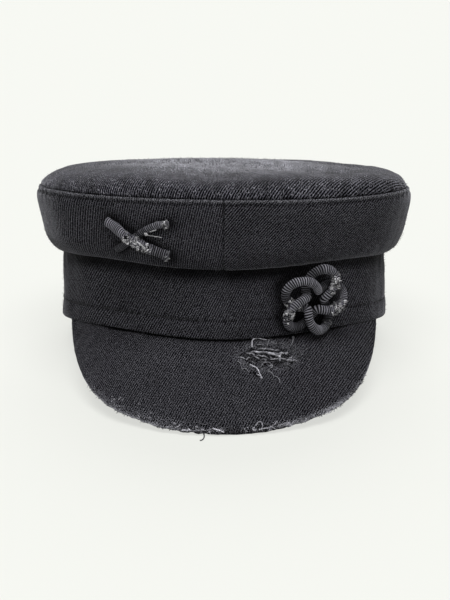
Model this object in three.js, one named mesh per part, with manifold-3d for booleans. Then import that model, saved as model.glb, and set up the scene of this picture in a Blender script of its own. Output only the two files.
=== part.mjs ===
// Baker boy cap in heavy denim: round top panel, two-piece flared side crown folded
// over an upright band, two-layer curved peak, and sewn-on gimp cord ornaments.
// Millimetres. Every piece is drawn in the cap's own frame, where the band's lower
// rim lies in z = 0, the wearer looks along -Y and angles are measured round the head
// from centre front, positive towards +X. The whole cap is then leaned back until it
// rests on the peak's front edge and the back of the rim.

import * as THREE from 'three';
import { mergeVertices } from 'three/addons/utils/BufferGeometryUtils.js';
import Module from 'manifold-3d';

const wasm = await Module();
wasm.setup();

// Driving dimensions
const BAND_HALF_WIDTH = 89;      // band, outside, across the head
const BAND_HALF_DEPTH = 99;      // band, outside, front to back
const BAND_WALL = 2.2;           // two layers of denim
const BAND_TOP = 40;             // hidden behind the folded side crown
const FOLD_HEIGHT = 36.5;        // where the side crown's folded edge sits
const SEAM_HEIGHT = 74.2;        // side crown to top panel
const SEAM_SPREAD = 12.2;        // how far that seam stands outside the band
const DEPTH_SPREAD = 0.85;       // share of the spread that goes front to back
const CROWN_WALL = 1.8;
const EGG = 0.05;                // the head is narrower at the front
const SIDE_LIFT = 2.6;           // the rim rises between centre front and the sides
const BACK_DROP = 6;             // the crown is lower at the back
const RIGHT_SAG = 1.3;           // the soft crown sags a little on the +X side
const GAP = 0.3;                 // clearance between sewn pieces
const PEAK_ROOT_ANGLE = 69;      // degrees round the band where the peak ends
const PEAK_CORNER = { y: -36, z: 0.8 };
const PEAK_FRONT = { y: -150, z: -37.3 };
const PEAK_CROWNING = 1.6;       // convexity along the slope
const PEAK_PITCH = 38;           // degrees, mean slope of the peak below the rim plane
const PEAK_COVER_WALL = 1.6;
const PEAK_UNDER_WALL = 1.4;
const PEAK_LENGTH = 62;          // along the slope at the middle
const PEAK_LIP = 0.9;            // the lower layer reaches past the raw upper edge
const PEAK_UNDER_REACH = 1 + PEAK_LIP / PEAK_LENGTH;
const REST_PRESS = 0.6;          // cloth flattened where the cap rests
const CROSS_OVER_CORD = { width: 5.6, height: 4.2 };
const CROSS_UNDER_CORD = { width: 3.8, height: 3.0 };
const ROSETTE_CORD = { width: 4.8, height: 4.0 };

const RING_STEPS = 60;
const PEAK_STEPS = 30;
const CORD_SIDES = 8;

// Side crown outline from the turned-in edge to the top seam
const SIDE_ROWS = [
  { spread: GAP, height: 37.4 },
  { spread: 1.8, height: 36.7 },
  { spread: 3.7, height: 37.5 },
  { spread: 6.2, height: 39.9 },
  { spread: 8.5, height: 43.5 },
  { spread: 10.0, height: 47.5 },
  { spread: 11.7, height: 56 },
  { spread: 13.1, height: 64.5 },
  { spread: 13.2, height: 69.5 },
  { spread: SEAM_SPREAD, height: SEAM_HEIGHT - GAP / 2 },
];

// Top panel outline: share of the seam's radius, and rise above the seam
const TOP_ROWS = [
  { share: 1.0, rise: GAP / 2 },
  { share: 0.99, rise: 1.3 },
  { share: 0.974, rise: 3.0 },
  { share: 0.95, rise: 4.8 },
  { share: 0.91, rise: 6.6 },
  { share: 0.85, rise: 8.1 },
  { share: 0.75, rise: 9.4 },
  { share: 0.55, rise: 10.8 },
  { share: 0.3, rise: 11.7 },
  { share: 0.0, rise: 12.0 },
];

// Band outline, with the slightly fuller hem
const BAND_ROWS = [
  { spread: 0.1, height: 0 },
  { spread: 0.5, height: 1.2 },
  { spread: 0.55, height: 6 },
  { spread: 0.1, height: 9.6 },
  { spread: 0, height: 14 },
  { spread: 0, height: BAND_TOP },
];

// Half of the peak's raw edge: distance from the middle, and reach towards the front
// as a share of the way from the peak's corner
const PEAK_EDGE_ROWS = [
  { across: 0, reach: 1 },
  { across: 24, reach: 0.965 },
  { across: 44, reach: 0.877 },
  { across: 59.5, reach: 0.752 },
  { across: 71, reach: 0.545 },
  { across: 78.5, reach: 0.28 },
  { across: 82.6, reach: 0 },
];

// Cord routes on the side crown: degrees from centre front, height, and the clear
// space left under the cord
const CROSS_OVER_ROUTE = [
  { angle: -37.5, height: 60.5, clear: 0.5 },
  { angle: -33.5, height: 57, clear: 1.0 },
  { angle: -29.2, height: 53, clear: 3.5 },
  { angle: -26.8, height: 50.8, clear: 3.7 },
  { angle: -23.4, height: 48.2, clear: 2.4 },
  { angle: -20, height: 46, clear: 0.9 },
  { angle: -16.6, height: 44.4, clear: 0.5 },
];
const CROSS_UNDER_ROUTE = [
  { angle: -16.2, height: 60, clear: 0.5 },
  { angle: -20.8, height: 57.8, clear: 0.4 },
  { angle: -25, height: 54, clear: 0.3 },
  { angle: -28.6, height: 51, clear: 0.3 },
  { angle: -32.6, height: 46.5, clear: 0.3 },
  { angle: -34.8, height: 45.4, clear: 0.3 },
];

// Five-lobed interlaced cord ornament, leaning from the hem to the folded edge
const ROSETTE = {
  angle: 30.5,
  height: 17.5,
  inner: 5.4,
  outer: 17,
  stretch: 1.14,
  lobes: 5,
  steps: 110,
  weave: 2.2,
  clearBottom: 0.6,
  clearTop: 6.4,
  turn: 14,
};

const degrees = THREE.MathUtils.degToRad;
const clamp01 = (value) => THREE.MathUtils.clamp(value, 0, 1);

// The cap's walls: a point at an angle round the head, a spread outside the band's
// outer face and a height above the rim.
function capPoint(angle, spread, height) {
  const share = clamp01((height - FOLD_HEIGHT) / (SEAM_HEIGHT - FOLD_HEIGHT));
  const halfWidth = BAND_HALF_WIDTH + spread;
  const halfDepth = BAND_HALF_DEPTH + spread * DEPTH_SPREAD;
  const front = Math.cos(angle) > 0;
  const lift = front ? SIDE_LIFT * Math.sin(2 * angle) ** 2 * (1 - share) : 0;
  const x = halfWidth * Math.sin(angle) * (1 - EGG * (1 - share) * Math.cos(angle));
  const y = -halfDepth * Math.cos(angle);
  const z = height + lift - backDrop(y / halfDepth) * share - rightSag(x) * sagShare(height);
  return new THREE.Vector3(x, y, z);
}

function backDrop(depthShare) {
  return BACK_DROP * ((1 + depthShare) / 2) ** 2;
}

function rightSag(x) {
  return RIGHT_SAG * THREE.MathUtils.smoothstep(x, -20, 90);
}

function sagShare(height) {
  return THREE.MathUtils.smoothstep(height, BAND_TOP - 12, BAND_TOP + 4);
}

// The outward direction of the wall at a point, from its neighbours.
function capNormal(angle, spread, height) {
  const step = 0.01;
  const along = capPoint(angle + step, spread, height).sub(capPoint(angle - step, spread, height));
  const up = capPoint(angle, spread, height + 1).sub(capPoint(angle, spread, height - 1));
  return along.cross(up).normalize();
}

// The spread of the side crown's outer face at a height.
function sideSpread(height) {
  const above = SIDE_ROWS.slice(1).findIndex((row) => row.height >= height) + 1;
  const low = SIDE_ROWS[above - 1];
  const high = SIDE_ROWS[above];
  const share = (height - low.height) / (high.height - low.height);
  return THREE.MathUtils.lerp(low.spread, high.spread, share);
}

// A point of the top panel, as a share of the seam's outline and a rise above it.
function topPoint(angle, share, rise) {
  const halfWidth = (BAND_HALF_WIDTH + SEAM_SPREAD) * share;
  const halfDepth = (BAND_HALF_DEPTH + SEAM_SPREAD * DEPTH_SPREAD) * share;
  const x = halfWidth * Math.sin(angle);
  const y = -halfDepth * Math.cos(angle);
  const drop = backDrop((y / halfDepth || 0) * share);
  return new THREE.Vector3(x, y, SEAM_HEIGHT + rise - drop - rightSag(x));
}

// A smooth curve through rows of a table, with a given number of points.
function smoothRows(rows, across, upward, count) {
  const points = rows.map((row) => new THREE.Vector2(row[across], row[upward]));
  return new THREE.SplineCurve(points).getPoints(count - 1);
}

// The closed section of a wall: the outer line, and a line one wall's thickness
// inside it.
function wallSection(outer, thickness) {
  const inner = outer.map((point, index) => {
    const before = outer[Math.max(index - 1, 0)];
    const after = outer[Math.min(index + 1, outer.length - 1)];
    const run = after.clone().sub(before).normalize();
    return new THREE.Vector2(point.x - run.y * thickness, point.y + run.x * thickness);
  });
  return [...outer, ...inner.reverse()];
}

function geometryFrom(points, faces) {
  const geometry = new THREE.BufferGeometry();
  const numbers = points.flatMap((point) => [point.x, point.y, point.z]);
  geometry.setAttribute('position', new THREE.Float32BufferAttribute(numbers, 3));
  geometry.setIndex(faces.flat());
  return geometry;
}

// Joins two rows of vertex numbers with triangles.
function bridge(faces, first, second, closed) {
  const count = closed ? first.length : first.length - 1;
  for (let i = 0; i < count; i += 1) {
    const next = (i + 1) % first.length;
    faces.push([first[i], second[i], second[next]], [first[i], second[next], first[next]]);
  }
}

// A wall swept round the head: a full ring, or a stretch with flat ends.
function sweptWall(section, place, from, to, steps) {
  const full = Math.abs(to - from - 2 * Math.PI) < 1e-6;
  const stations = full ? steps : steps + 1;
  const points = [];
  const rows = [];
  for (let i = 0; i < stations; i += 1) {
    const angle = from + ((to - from) * i) / steps;
    rows.push(section.map((corner) => points.push(place(angle, corner.x, corner.y)) - 1));
  }
  const faces = [];
  for (let i = 0; i < stations - 1; i += 1) bridge(faces, rows[i], rows[i + 1], true);
  if (full) {
    bridge(faces, rows[stations - 1], rows[0], true);
  } else {
    for (const [a, b, c] of THREE.ShapeUtils.triangulateShape(section, [])) {
      faces.push([rows[0][a], rows[0][b], rows[0][c]]);
      faces.push([rows[stations - 1][a], rows[stations - 1][c], rows[stations - 1][b]]);
    }
  }
  return geometryFrom(points, faces);
}

// A dished panel: outer and inner faces closed at the rim, each with one point at its
// middle.
function dishedPanel(outer, inner, place, steps) {
  const points = [];
  const faces = [];
  const ring = (row) => Array.from({ length: steps }, (_, i) =>
    points.push(place((2 * Math.PI * i) / steps, row.x, row.y)) - 1);
  const outerRings = outer.slice(0, -1).map(ring);
  const innerRings = inner.slice(0, -1).map(ring);
  const outerTip = points.push(place(0, 0, outer.at(-1).y)) - 1;
  const innerTip = points.push(place(0, 0, inner.at(-1).y)) - 1;
  const fan = (row, tip, flip) => row.forEach((corner, i) => {
    const next = row[(i + 1) % steps];
    faces.push(flip ? [corner, tip, next] : [corner, next, tip]);
  });
  for (let i = 1; i < outerRings.length; i += 1) bridge(faces, outerRings[i], outerRings[i - 1], true);
  for (let i = 1; i < innerRings.length; i += 1) bridge(faces, innerRings[i - 1], innerRings[i], true);
  bridge(faces, outerRings[0], innerRings[0], true);
  fan(outerRings.at(-1), outerTip, false);
  fan(innerRings.at(-1), innerTip, true);
  return geometryFrom(points, faces);
}

const peakEdge = new THREE.SplineCurve([
  ...PEAK_EDGE_ROWS.slice(1).reverse().map((row) => new THREE.Vector2(-row.across, row.reach)),
  ...PEAK_EDGE_ROWS.map((row) => new THREE.Vector2(row.across, row.reach)),
]);

// The peak's upper face: across runs from -1 to 1 round the band, out from 0 at the
// band to 1 at the raw edge. Depth is measured down through the layers.
function peakPoint(across, out, depth) {
  const root = across * degrees(PEAK_ROOT_ANGLE);
  const start = capPoint(root, -BAND_WALL / 2 + 0.2, -GAP);
  const { x, y: reach } = peakEdge.getPoint((across + 1) / 2);
  const edge = new THREE.Vector3(
    x,
    THREE.MathUtils.lerp(PEAK_CORNER.y, PEAK_FRONT.y, reach),
    THREE.MathUtils.lerp(PEAK_CORNER.z, PEAK_FRONT.z, reach),
  );
  const pitch = degrees(PEAK_PITCH);
  const normal = new THREE.Vector3(
    Math.sin(root) * Math.sin(pitch),
    -Math.cos(root) * Math.sin(pitch),
    Math.cos(pitch),
  );
  const middle = Math.cos((across * Math.PI) / 2);
  const crowning = PEAK_CROWNING * Math.sin(Math.PI * clamp01(out)) * middle;
  return start.lerp(edge, out).addScaledVector(normal, crowning - depth);
}

// A sheet with two faces and closed edges.
function layeredSheet(place, top, bottom, reach, acrossSteps, outSteps) {
  const points = [];
  const faces = [];
  const grid = (depth) => Array.from({ length: acrossSteps + 1 }, (_, i) =>
    Array.from({ length: outSteps + 1 }, (_, j) =>
      points.push(place((2 * i) / acrossSteps - 1, (reach * j) / outSteps, depth)) - 1));
  const upper = grid(top);
  const lower = grid(bottom);
  for (let i = 0; i < acrossSteps; i += 1) {
    bridge(faces, upper[i + 1], upper[i], false);
    bridge(faces, lower[i], lower[i + 1], false);
  }
  bridge(faces, upper[0], lower[0], false);
  bridge(faces, lower.at(-1), upper.at(-1), false);
  const rim = (rows, j) => rows.map((row) => row[j]);
  bridge(faces, rim(lower, 0), rim(upper, 0), false);
  bridge(faces, rim(upper, outSteps), rim(lower, outSteps), false);
  return geometryFrom(points, faces);
}

// A cord of oval section along stations that hold a middle point and the outward
// direction of the cloth below it.
function layCord(stations, size, closed) {
  const points = [];
  const faces = [];
  const count = stations.length;
  const rows = stations.map((station, i) => {
    const before = stations[closed ? (i + count - 1) % count : Math.max(i - 1, 0)].middle;
    const after = stations[closed ? (i + 1) % count : Math.min(i + 1, count - 1)].middle;
    const run = after.clone().sub(before).normalize();
    const side = run.clone().cross(station.outward).normalize();
    const up = side.clone().cross(run).normalize();
    return Array.from({ length: CORD_SIDES }, (_, k) => {
      const turn = (2 * Math.PI * (k + 0.5)) / CORD_SIDES;
      const point = station.middle.clone()
        .addScaledVector(side, (Math.cos(turn) * size.width) / 2)
        .addScaledVector(up, (Math.sin(turn) * size.height) / 2);
      return points.push(point) - 1;
    });
  });
  for (let i = 0; i < count - 1; i += 1) bridge(faces, rows[i], rows[i + 1], true);
  if (closed) {
    bridge(faces, rows[count - 1], rows[0], true);
  } else {
    for (let k = 1; k < CORD_SIDES - 1; k += 1) {
      faces.push([rows[0][0], rows[0][k], rows[0][k + 1]]);
      faces.push([rows[count - 1][0], rows[count - 1][k + 1], rows[count - 1][k]]);
    }
  }
  return geometryFrom(points, faces);
}

// Stations of a cord sewn to the side crown.
function crossStations(route, size, count) {
  const corners = route.map((row) => new THREE.Vector3(row.angle, row.height, row.clear));
  return new THREE.CatmullRomCurve3(corners).getPoints(count - 1).map((corner) => {
    const angle = degrees(corner.x);
    const spread = sideSpread(corner.y);
    const outward = capNormal(angle, spread, corner.y);
    const middle = capPoint(angle, spread, corner.y);
    middle.addScaledVector(outward, corner.z + size.height / 2);
    return { middle, outward };
  });
}

// Stations of the five-lobed ornament: a flat interlaced line that winds twice round
// its middle and passes over and under itself by turns.
function rosetteStations() {
  const { lobes, inner, outer, steps } = ROSETTE;
  const centre = degrees(ROSETTE.angle);
  const radius = capPoint(centre, 0, ROSETTE.height).setZ(0).length();
  return Array.from({ length: steps }, (_, i) => {
    const winding = (4 * Math.PI * i) / steps;
    const swing = Math.cos((lobes * winding) / 2);
    const reach = (outer + inner) / 2 + ((outer - inner) / 2) * swing;
    const turn = winding + degrees(ROSETTE.turn);
    const across = ROSETTE.stretch * reach * Math.sin(turn);
    const height = ROSETTE.height + reach * Math.cos(turn);
    const rise = clamp01((height - ROSETTE.height) / (2 * outer) + 0.5);
    const clear = THREE.MathUtils.lerp(ROSETTE.clearBottom, ROSETTE.clearTop, rise ** 1.6);
    const over = ROSETTE.weave * (1 + Math.sin((lobes * winding) / 2));
    const angle = centre + across / radius;
    const outward = capNormal(angle, 0, height);
    const middle = capPoint(angle, 0, height);
    middle.addScaledVector(outward, clear + over + ROSETTE_CORD.height / 2);
    return { middle, outward };
  });
}

function toManifold(geometry) {
  const merged = mergeVertices(geometry, 1e-5);
  const mesh = new wasm.Mesh({
    numProp: 3,
    vertProperties: new Float32Array(merged.attributes.position.array),
    triVerts: new Uint32Array(merged.index.array),
  });
  return new wasm.Manifold(mesh);
}

function fromManifold(solid) {
  const mesh = solid.getMesh();
  const geometry = new THREE.BufferGeometry();
  geometry.setAttribute('position', new THREE.BufferAttribute(new Float32Array(mesh.vertProperties), 3));
  geometry.setIndex([...mesh.triVerts]);
  return geometry;
}

// How far the cap leans back, and the height of the surface it then rests on: it
// touches at the peak's front edge and at the back of the rim.
const lowestFront = peakPoint(0, PEAK_UNDER_REACH, PEAK_COVER_WALL + GAP + PEAK_UNDER_WALL);
const lowestBack = capPoint(Math.PI, 0, 0);
const lean = Math.atan2(lowestBack.z - lowestFront.z, lowestBack.y - lowestFront.y);
const tilt = new THREE.Matrix4().makeRotationX(-lean);
const restHeight = lowestBack.clone().applyMatrix4(tilt).z + REST_PRESS;

// Cuts a piece flat where it rests.
function trimAtRest(geometry) {
  const reach = 4 * BAND_HALF_DEPTH;
  const depth = BAND_TOP;
  const block = new THREE.BoxGeometry(reach, reach, depth);
  block.translate(0, 0, restHeight - depth / 2);
  block.applyMatrix4(tilt.clone().invert());
  block.deleteAttribute('normal');
  block.deleteAttribute('uv');
  return fromManifold(toManifold(geometry).subtract(toManifold(block)));
}

function denim(color) {
  return new THREE.MeshStandardMaterial({ color, roughness: 0.95, metalness: 0, flatShading: true });
}

function gimpCord(color) {
  return new THREE.MeshStandardMaterial({ color, roughness: 0.75, metalness: 0, flatShading: true });
}

const cap = new THREE.Group();

function addPiece(name, geometry, material) {
  const mesh = new THREE.Mesh(geometry, material);
  mesh.name = name;
  cap.add(mesh);
}

function addCrown() {
  const sideSection = wallSection(smoothRows(SIDE_ROWS, 'spread', 'height', 10), CROWN_WALL);
  const seamAngle = GAP / 2 / BAND_HALF_WIDTH;
  const half = Math.PI - seamAngle;
  const right = sweptWall(sideSection, capPoint, seamAngle, half, RING_STEPS / 2);
  const left = sweptWall(sideSection, capPoint, -half, -seamAngle, RING_STEPS / 2);
  addPiece('side_panel_left', left, denim(0x2a2a2e));
  addPiece('side_panel_right', right, denim(0x2a2a2e));

  const meanRadius = (BAND_HALF_WIDTH + BAND_HALF_DEPTH) / 2 + SEAM_SPREAD;
  const outer = smoothRows(TOP_ROWS, 'share', 'rise', 10);
  const scaled = outer.map((row) => new THREE.Vector2(row.x * meanRadius, row.y));
  const section = wallSection(scaled, CROWN_WALL);
  const inner = section.slice(outer.length).reverse();
  const innerShares = inner.map((row) => new THREE.Vector2(Math.max(row.x, 0) / meanRadius, row.y));
  innerShares[0].y = outer[0].y;
  addPiece('crown_top', dishedPanel(outer, innerShares, topPoint, RING_STEPS), denim(0x3a3a3d));
}

function addBand() {
  const outer = BAND_ROWS.map((row) => new THREE.Vector2(row.spread, row.height));
  const inner = [
    new THREE.Vector2(-BAND_WALL, BAND_TOP),
    new THREE.Vector2(-BAND_WALL, BAND_TOP / 2),
    new THREE.Vector2(-BAND_WALL, 0),
  ];
  const ring = sweptWall([...outer, ...inner], capPoint, 0, 2 * Math.PI, RING_STEPS);
  addPiece('band', trimAtRest(ring), denim(0x26262a));
}

function addPeak() {
  const underTop = PEAK_COVER_WALL + GAP;
  const cover = layeredSheet(peakPoint, 0, PEAK_COVER_WALL, 1, PEAK_STEPS, 5);
  const underBottom = underTop + PEAK_UNDER_WALL;
  const under = layeredSheet(peakPoint, underTop, underBottom, PEAK_UNDER_REACH, PEAK_STEPS, 4);
  addPiece('peak_cover', trimAtRest(cover), denim(0x28282c));
  addPiece('peak_under', trimAtRest(under), denim(0x202024));
}

function addOrnaments() {
  const over = layCord(crossStations(CROSS_OVER_ROUTE, CROSS_OVER_CORD, 15), CROSS_OVER_CORD, false);
  const under = layCord(crossStations(CROSS_UNDER_ROUTE, CROSS_UNDER_CORD, 13), CROSS_UNDER_CORD, false);
  addPiece('cross_cord_over', over, gimpCord(0x4a4a4e));
  addPiece('cross_cord_under', under, gimpCord(0x3c3c40));
  addPiece('rosette_cord', layCord(rosetteStations(), ROSETTE_CORD, true), gimpCord(0x48484c));
}

addCrown();
addBand();
addPeak();
addOrnaments();

// The cap leans back, rests on z = 0, and is centred over the origin.
cap.rotation.x = -lean;
cap.position.z = -restHeight;
const extent = new THREE.Box3().setFromObject(cap, true);
cap.position.y = -(extent.min.y + extent.max.y) / 2;
cap.updateMatrixWorld(true);

export default cap;
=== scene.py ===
import math

import bpy
import numpy as np
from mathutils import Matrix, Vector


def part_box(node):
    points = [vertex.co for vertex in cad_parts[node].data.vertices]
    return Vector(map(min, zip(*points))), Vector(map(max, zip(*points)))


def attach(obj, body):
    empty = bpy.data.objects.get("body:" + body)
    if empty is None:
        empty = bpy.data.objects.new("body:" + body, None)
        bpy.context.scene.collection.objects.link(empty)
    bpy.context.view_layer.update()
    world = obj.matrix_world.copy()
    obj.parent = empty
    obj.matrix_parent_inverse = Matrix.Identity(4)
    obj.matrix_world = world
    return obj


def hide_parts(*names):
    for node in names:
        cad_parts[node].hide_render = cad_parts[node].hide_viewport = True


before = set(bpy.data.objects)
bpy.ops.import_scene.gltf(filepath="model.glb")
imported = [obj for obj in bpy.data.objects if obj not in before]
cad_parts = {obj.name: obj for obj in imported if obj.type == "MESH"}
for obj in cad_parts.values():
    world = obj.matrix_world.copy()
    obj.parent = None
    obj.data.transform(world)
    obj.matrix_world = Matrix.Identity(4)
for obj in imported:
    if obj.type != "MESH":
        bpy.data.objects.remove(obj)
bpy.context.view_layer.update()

# the cap's own sizes in mm, in the cap's frame: the rim lies on z 0 and the wearer looks along -Y
cap = {
    "bandHalfWidth": 89.0,
    "bandHalfDepth": 99.0,
    "foldHeight": 36.5,
    "seamHeight": 74.2,
    "seamSpread": 12.2,
    "depthSpread": 0.85,
    "egg": 0.05,
    "sideLift": 2.6,
    "backDrop": 6.0,
    "rightSag": 1.3,
    "sagFrom": (28, 44),
}
# mm from the band to the peak's front edge and along half its root: they turn mm into shares of the peak
peakDepth = 62.0
peakHalfRun = 103.0
peak = {
    "rootAngle": math.radians(69),
    "pitch": math.radians(38),
    "cornerY": -36.0,
    "cornerZ": 0.8,
    "frontY": -150.0,
    "frontZ": -37.3,
    "crowning": 1.6,
    "coverWall": 1.6,
    "underWall": 1.4,
    "underReach": 1 + 0.9 / peakDepth,
}


def linearColour(hexCode):
    # sRGB hex to the linear values that the nodes take
    parts = [int(hexCode[i:i + 2], 16) / 255 for i in (1, 3, 5)]
    return [c / 12.92 if c <= 0.04045 else ((c + 0.055) / 1.055) ** 2.4 for c in parts] + [1.0]


def unit(vectors):
    return vectors / np.maximum(np.linalg.norm(vectors, axis=-1, keepdims=True), 1e-9)


def smoothStep(value, low, high):
    t = np.clip((value - low) / (high - low), 0, 1)
    return t * t * (3 - 2 * t)


def plateau(value, rise, fall):
    # from 0 to 1 over the first span, and back to 0 over the second
    return smoothStep(value, *rise) * (1 - smoothStep(value, *fall))


def bell(value, middle, width):
    return np.exp(-((value - middle) / width) ** 2)


def lumps(points, size, seed, waves=26):
    # soft random swelling of about that size in mm, from a sum of plane waves
    rng = np.random.default_rng(seed)
    directions = unit(rng.normal(size=(waves, 3)))
    tightness = 2 * math.pi / size * rng.uniform(0.6, 1.5, waves)
    phases = rng.uniform(0, 2 * math.pi, waves)
    total = np.zeros(points.shape[:-1])
    for direction, k, phase in zip(directions, tightness, phases):
        total += np.cos(points @ (direction * k) + phase)
    return total * math.sqrt(2 / waves)


def smoothCurve(points, distances=None, count=400, closed=False):
    # a curve through the points, and, if distances are given, its places at those distances along it
    points = np.asarray(points, float)
    if closed:
        padded = np.concatenate([points[-1:], points, points[:2]])
    else:
        padded = np.concatenate([2 * points[:1] - points[1:2], points, 2 * points[-1:] - points[-2:-1]])
    spans = len(padded) - 3
    t = np.linspace(0, spans, count)
    i = np.minimum(t.astype(int), spans - 1)
    w = (t - i)[:, None]
    a, b, c, d = padded[i], padded[i + 1], padded[i + 2], padded[i + 3]
    dense = 0.5 * (2 * b + (c - a) * w + (2 * a - 5 * b + 4 * c - d) * w ** 2
                   + (3 * b - a - 3 * c + d) * w ** 3)
    run = np.concatenate([[0], np.cumsum(np.linalg.norm(np.diff(dense, axis=0), axis=1))])
    if distances is None:
        return dense, run
    wanted = np.asarray(distances(run[-1]) if callable(distances) else distances)
    return np.stack([np.interp(wanted, run, dense[:, k]) for k in range(points.shape[1])], 1), wanted


# mm in from a free edge, close enough together for the edge to come out round, and where plain steps begin
roundEdge = np.array([0, 0.1, 0.3, 0.6, 1.0, 1.5])
plainFrom = 2.1


def crowdedSteps(step):
    # distances from 0 to a length, close together at both ends
    def steps(length):
        number = max(2, int((length - 2 * plainFrom) / step))
        middle = np.linspace(plainFrom, length - plainFrom, number)
        return np.concatenate([roundEdge, middle, length - roundEdge[::-1]])
    return steps


def runLength(grid, axis):
    # distance along the rows or columns of a grid of points
    stretch = np.linalg.norm(np.diff(grid, axis=axis), axis=-1)
    zero = np.zeros_like(np.take(stretch, [0], axis))
    return np.cumsum(np.concatenate([zero, stretch], axis), axis)


def capPoint(angle, spread, height):
    # the wall of the cap: angle from the centre front, mm of spread outside the band, mm over the rim
    angle, spread, height = np.broadcast_arrays(angle, spread, height)
    share = np.clip((height - cap["foldHeight"]) / (cap["seamHeight"] - cap["foldHeight"]), 0, 1)
    halfWidth = cap["bandHalfWidth"] + spread
    halfDepth = cap["bandHalfDepth"] + cap["depthSpread"] * spread
    lift = np.where(np.cos(angle) > 0, cap["sideLift"] * np.sin(2 * angle) ** 2 * (1 - share), 0)
    x = halfWidth * np.sin(angle) * (1 - cap["egg"] * (1 - share) * np.cos(angle))
    y = -halfDepth * np.cos(angle)
    drop = backDrop(y / halfDepth) * share
    sag = rightSag(x) * smoothStep(height, *cap["sagFrom"])
    return np.stack([x, y, height + lift - drop - sag], -1)


def backDrop(depth):
    # how far the crown slopes down toward the back
    return cap["backDrop"] * ((1 + depth) / 2) ** 2


def rightSag(x):
    # the crown hangs a little lower on its right
    return cap["rightSag"] * smoothStep(x, -20, 90)


def topPoint(angle, share, rise):
    # the crown top: share of the way from its middle to the seam, mm of rise over the seam
    angle, share, rise = np.broadcast_arrays(angle, share, rise)
    x = (cap["bandHalfWidth"] + cap["seamSpread"]) * share * np.sin(angle)
    y = -(cap["bandHalfDepth"] + cap["depthSpread"] * cap["seamSpread"]) * share * np.cos(angle)
    z = cap["seamHeight"] + rise - backDrop(-np.cos(angle) * share) - rightSag(x)
    return np.stack([x, y, z], -1)


def capNormal(angle, spread, height):
    around = capPoint(angle + 0.01, spread, height) - capPoint(angle - 0.01, spread, height)
    upward = capPoint(angle, spread, height + 1) - capPoint(angle, spread, height - 1)
    return unit(np.cross(around, upward))


# the peak's outline: across in mm from the middle, reach as a share of the way to the front
peakOutline = [(0, 1), (24, 0.97), (44, 0.889), (59.5, 0.768), (71.4, 0.563), (79.1, 0.29), (82.6, 0)]
peakOutline = [(-x, reach) for x, reach in peakOutline[:0:-1]] + peakOutline
outlineCurve = smoothCurve(peakOutline, count=12 * 120 + 1)[0]


def peakPoint(across, out, depth):
    # the peak: across from -1 to 1, out from 0 at the band to 1 at the edge, mm of depth under its face
    across, out, depth = np.broadcast_arrays(across, out, depth)
    root = across * peak["rootAngle"]
    start = capPoint(root, -0.9, -0.3)
    place = (across + 1) / 2 * (len(outlineCurve) - 1)
    x = np.interp(place, np.arange(len(outlineCurve)), outlineCurve[:, 0])
    reach = np.interp(place, np.arange(len(outlineCurve)), outlineCurve[:, 1])
    edge = np.stack([x, peak["cornerY"] + (peak["frontY"] - peak["cornerY"]) * reach,
                     peak["cornerZ"] + (peak["frontZ"] - peak["cornerZ"]) * reach], -1)
    normal = np.stack([np.sin(root) * math.sin(peak["pitch"]), -np.cos(root) * math.sin(peak["pitch"]),
                       np.full(root.shape, math.cos(peak["pitch"]))], -1)
    crowning = peak["crowning"] * np.sin(math.pi * np.clip(out, 0, 1)) * np.cos(across * math.pi / 2)
    return start + (edge - start) * out[..., None] + normal * (crowning - depth)[..., None]


# share of the way from the middle of the crown to its seam, and mm of rise over the seam
crownRows = [(1, 0.15), (0.99, 1.3), (0.974, 3.0), (0.95, 4.8), (0.91, 6.6), (0.85, 8.1), (0.75, 9.4),
             (0.55, 10.8), (0.3, 11.7), (0, 12.0)]
crownShares, crownRises = np.array(crownRows).T

# the cap leans forward: the peak's front edge and the back of the rim both touch the surface
lowFront = peakPoint(0, peak["underReach"], 0.3 + peak["coverWall"] + peak["underWall"])
lowBack = capPoint(math.pi, 0, 0)
lean = math.atan2(lowBack[2] - lowFront[2], lowBack[1] - lowFront[1])


def leaned(points):
    y = points[..., 1] * math.cos(lean) + points[..., 2] * math.sin(lean)
    z = -points[..., 1] * math.sin(lean) + points[..., 2] * math.cos(lean)
    return np.stack([points[..., 0], y, z], -1)


# and it stands where the frame's own peak and crown do
crownHigh = leaned(topPoint(np.linspace(0, 6.283, 240)[:, None], crownShares, crownRises))[..., 2].max()
peakFront = leaned(peakPoint(0, 1, 0))[1]
shift = np.array([0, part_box("peak_cover")[0].y * 1000 - peakFront,
                  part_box("crown_top")[1].z * 1000 - crownHigh])


def toWorld(points):
    # from the cap's frame in mm to the scene's in metres; nothing goes below the surface it rests on
    placed = (leaned(np.asarray(points, float)) + shift) * 0.001
    placed[..., 2] = np.maximum(placed[..., 2], 0.0002)
    return placed


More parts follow.
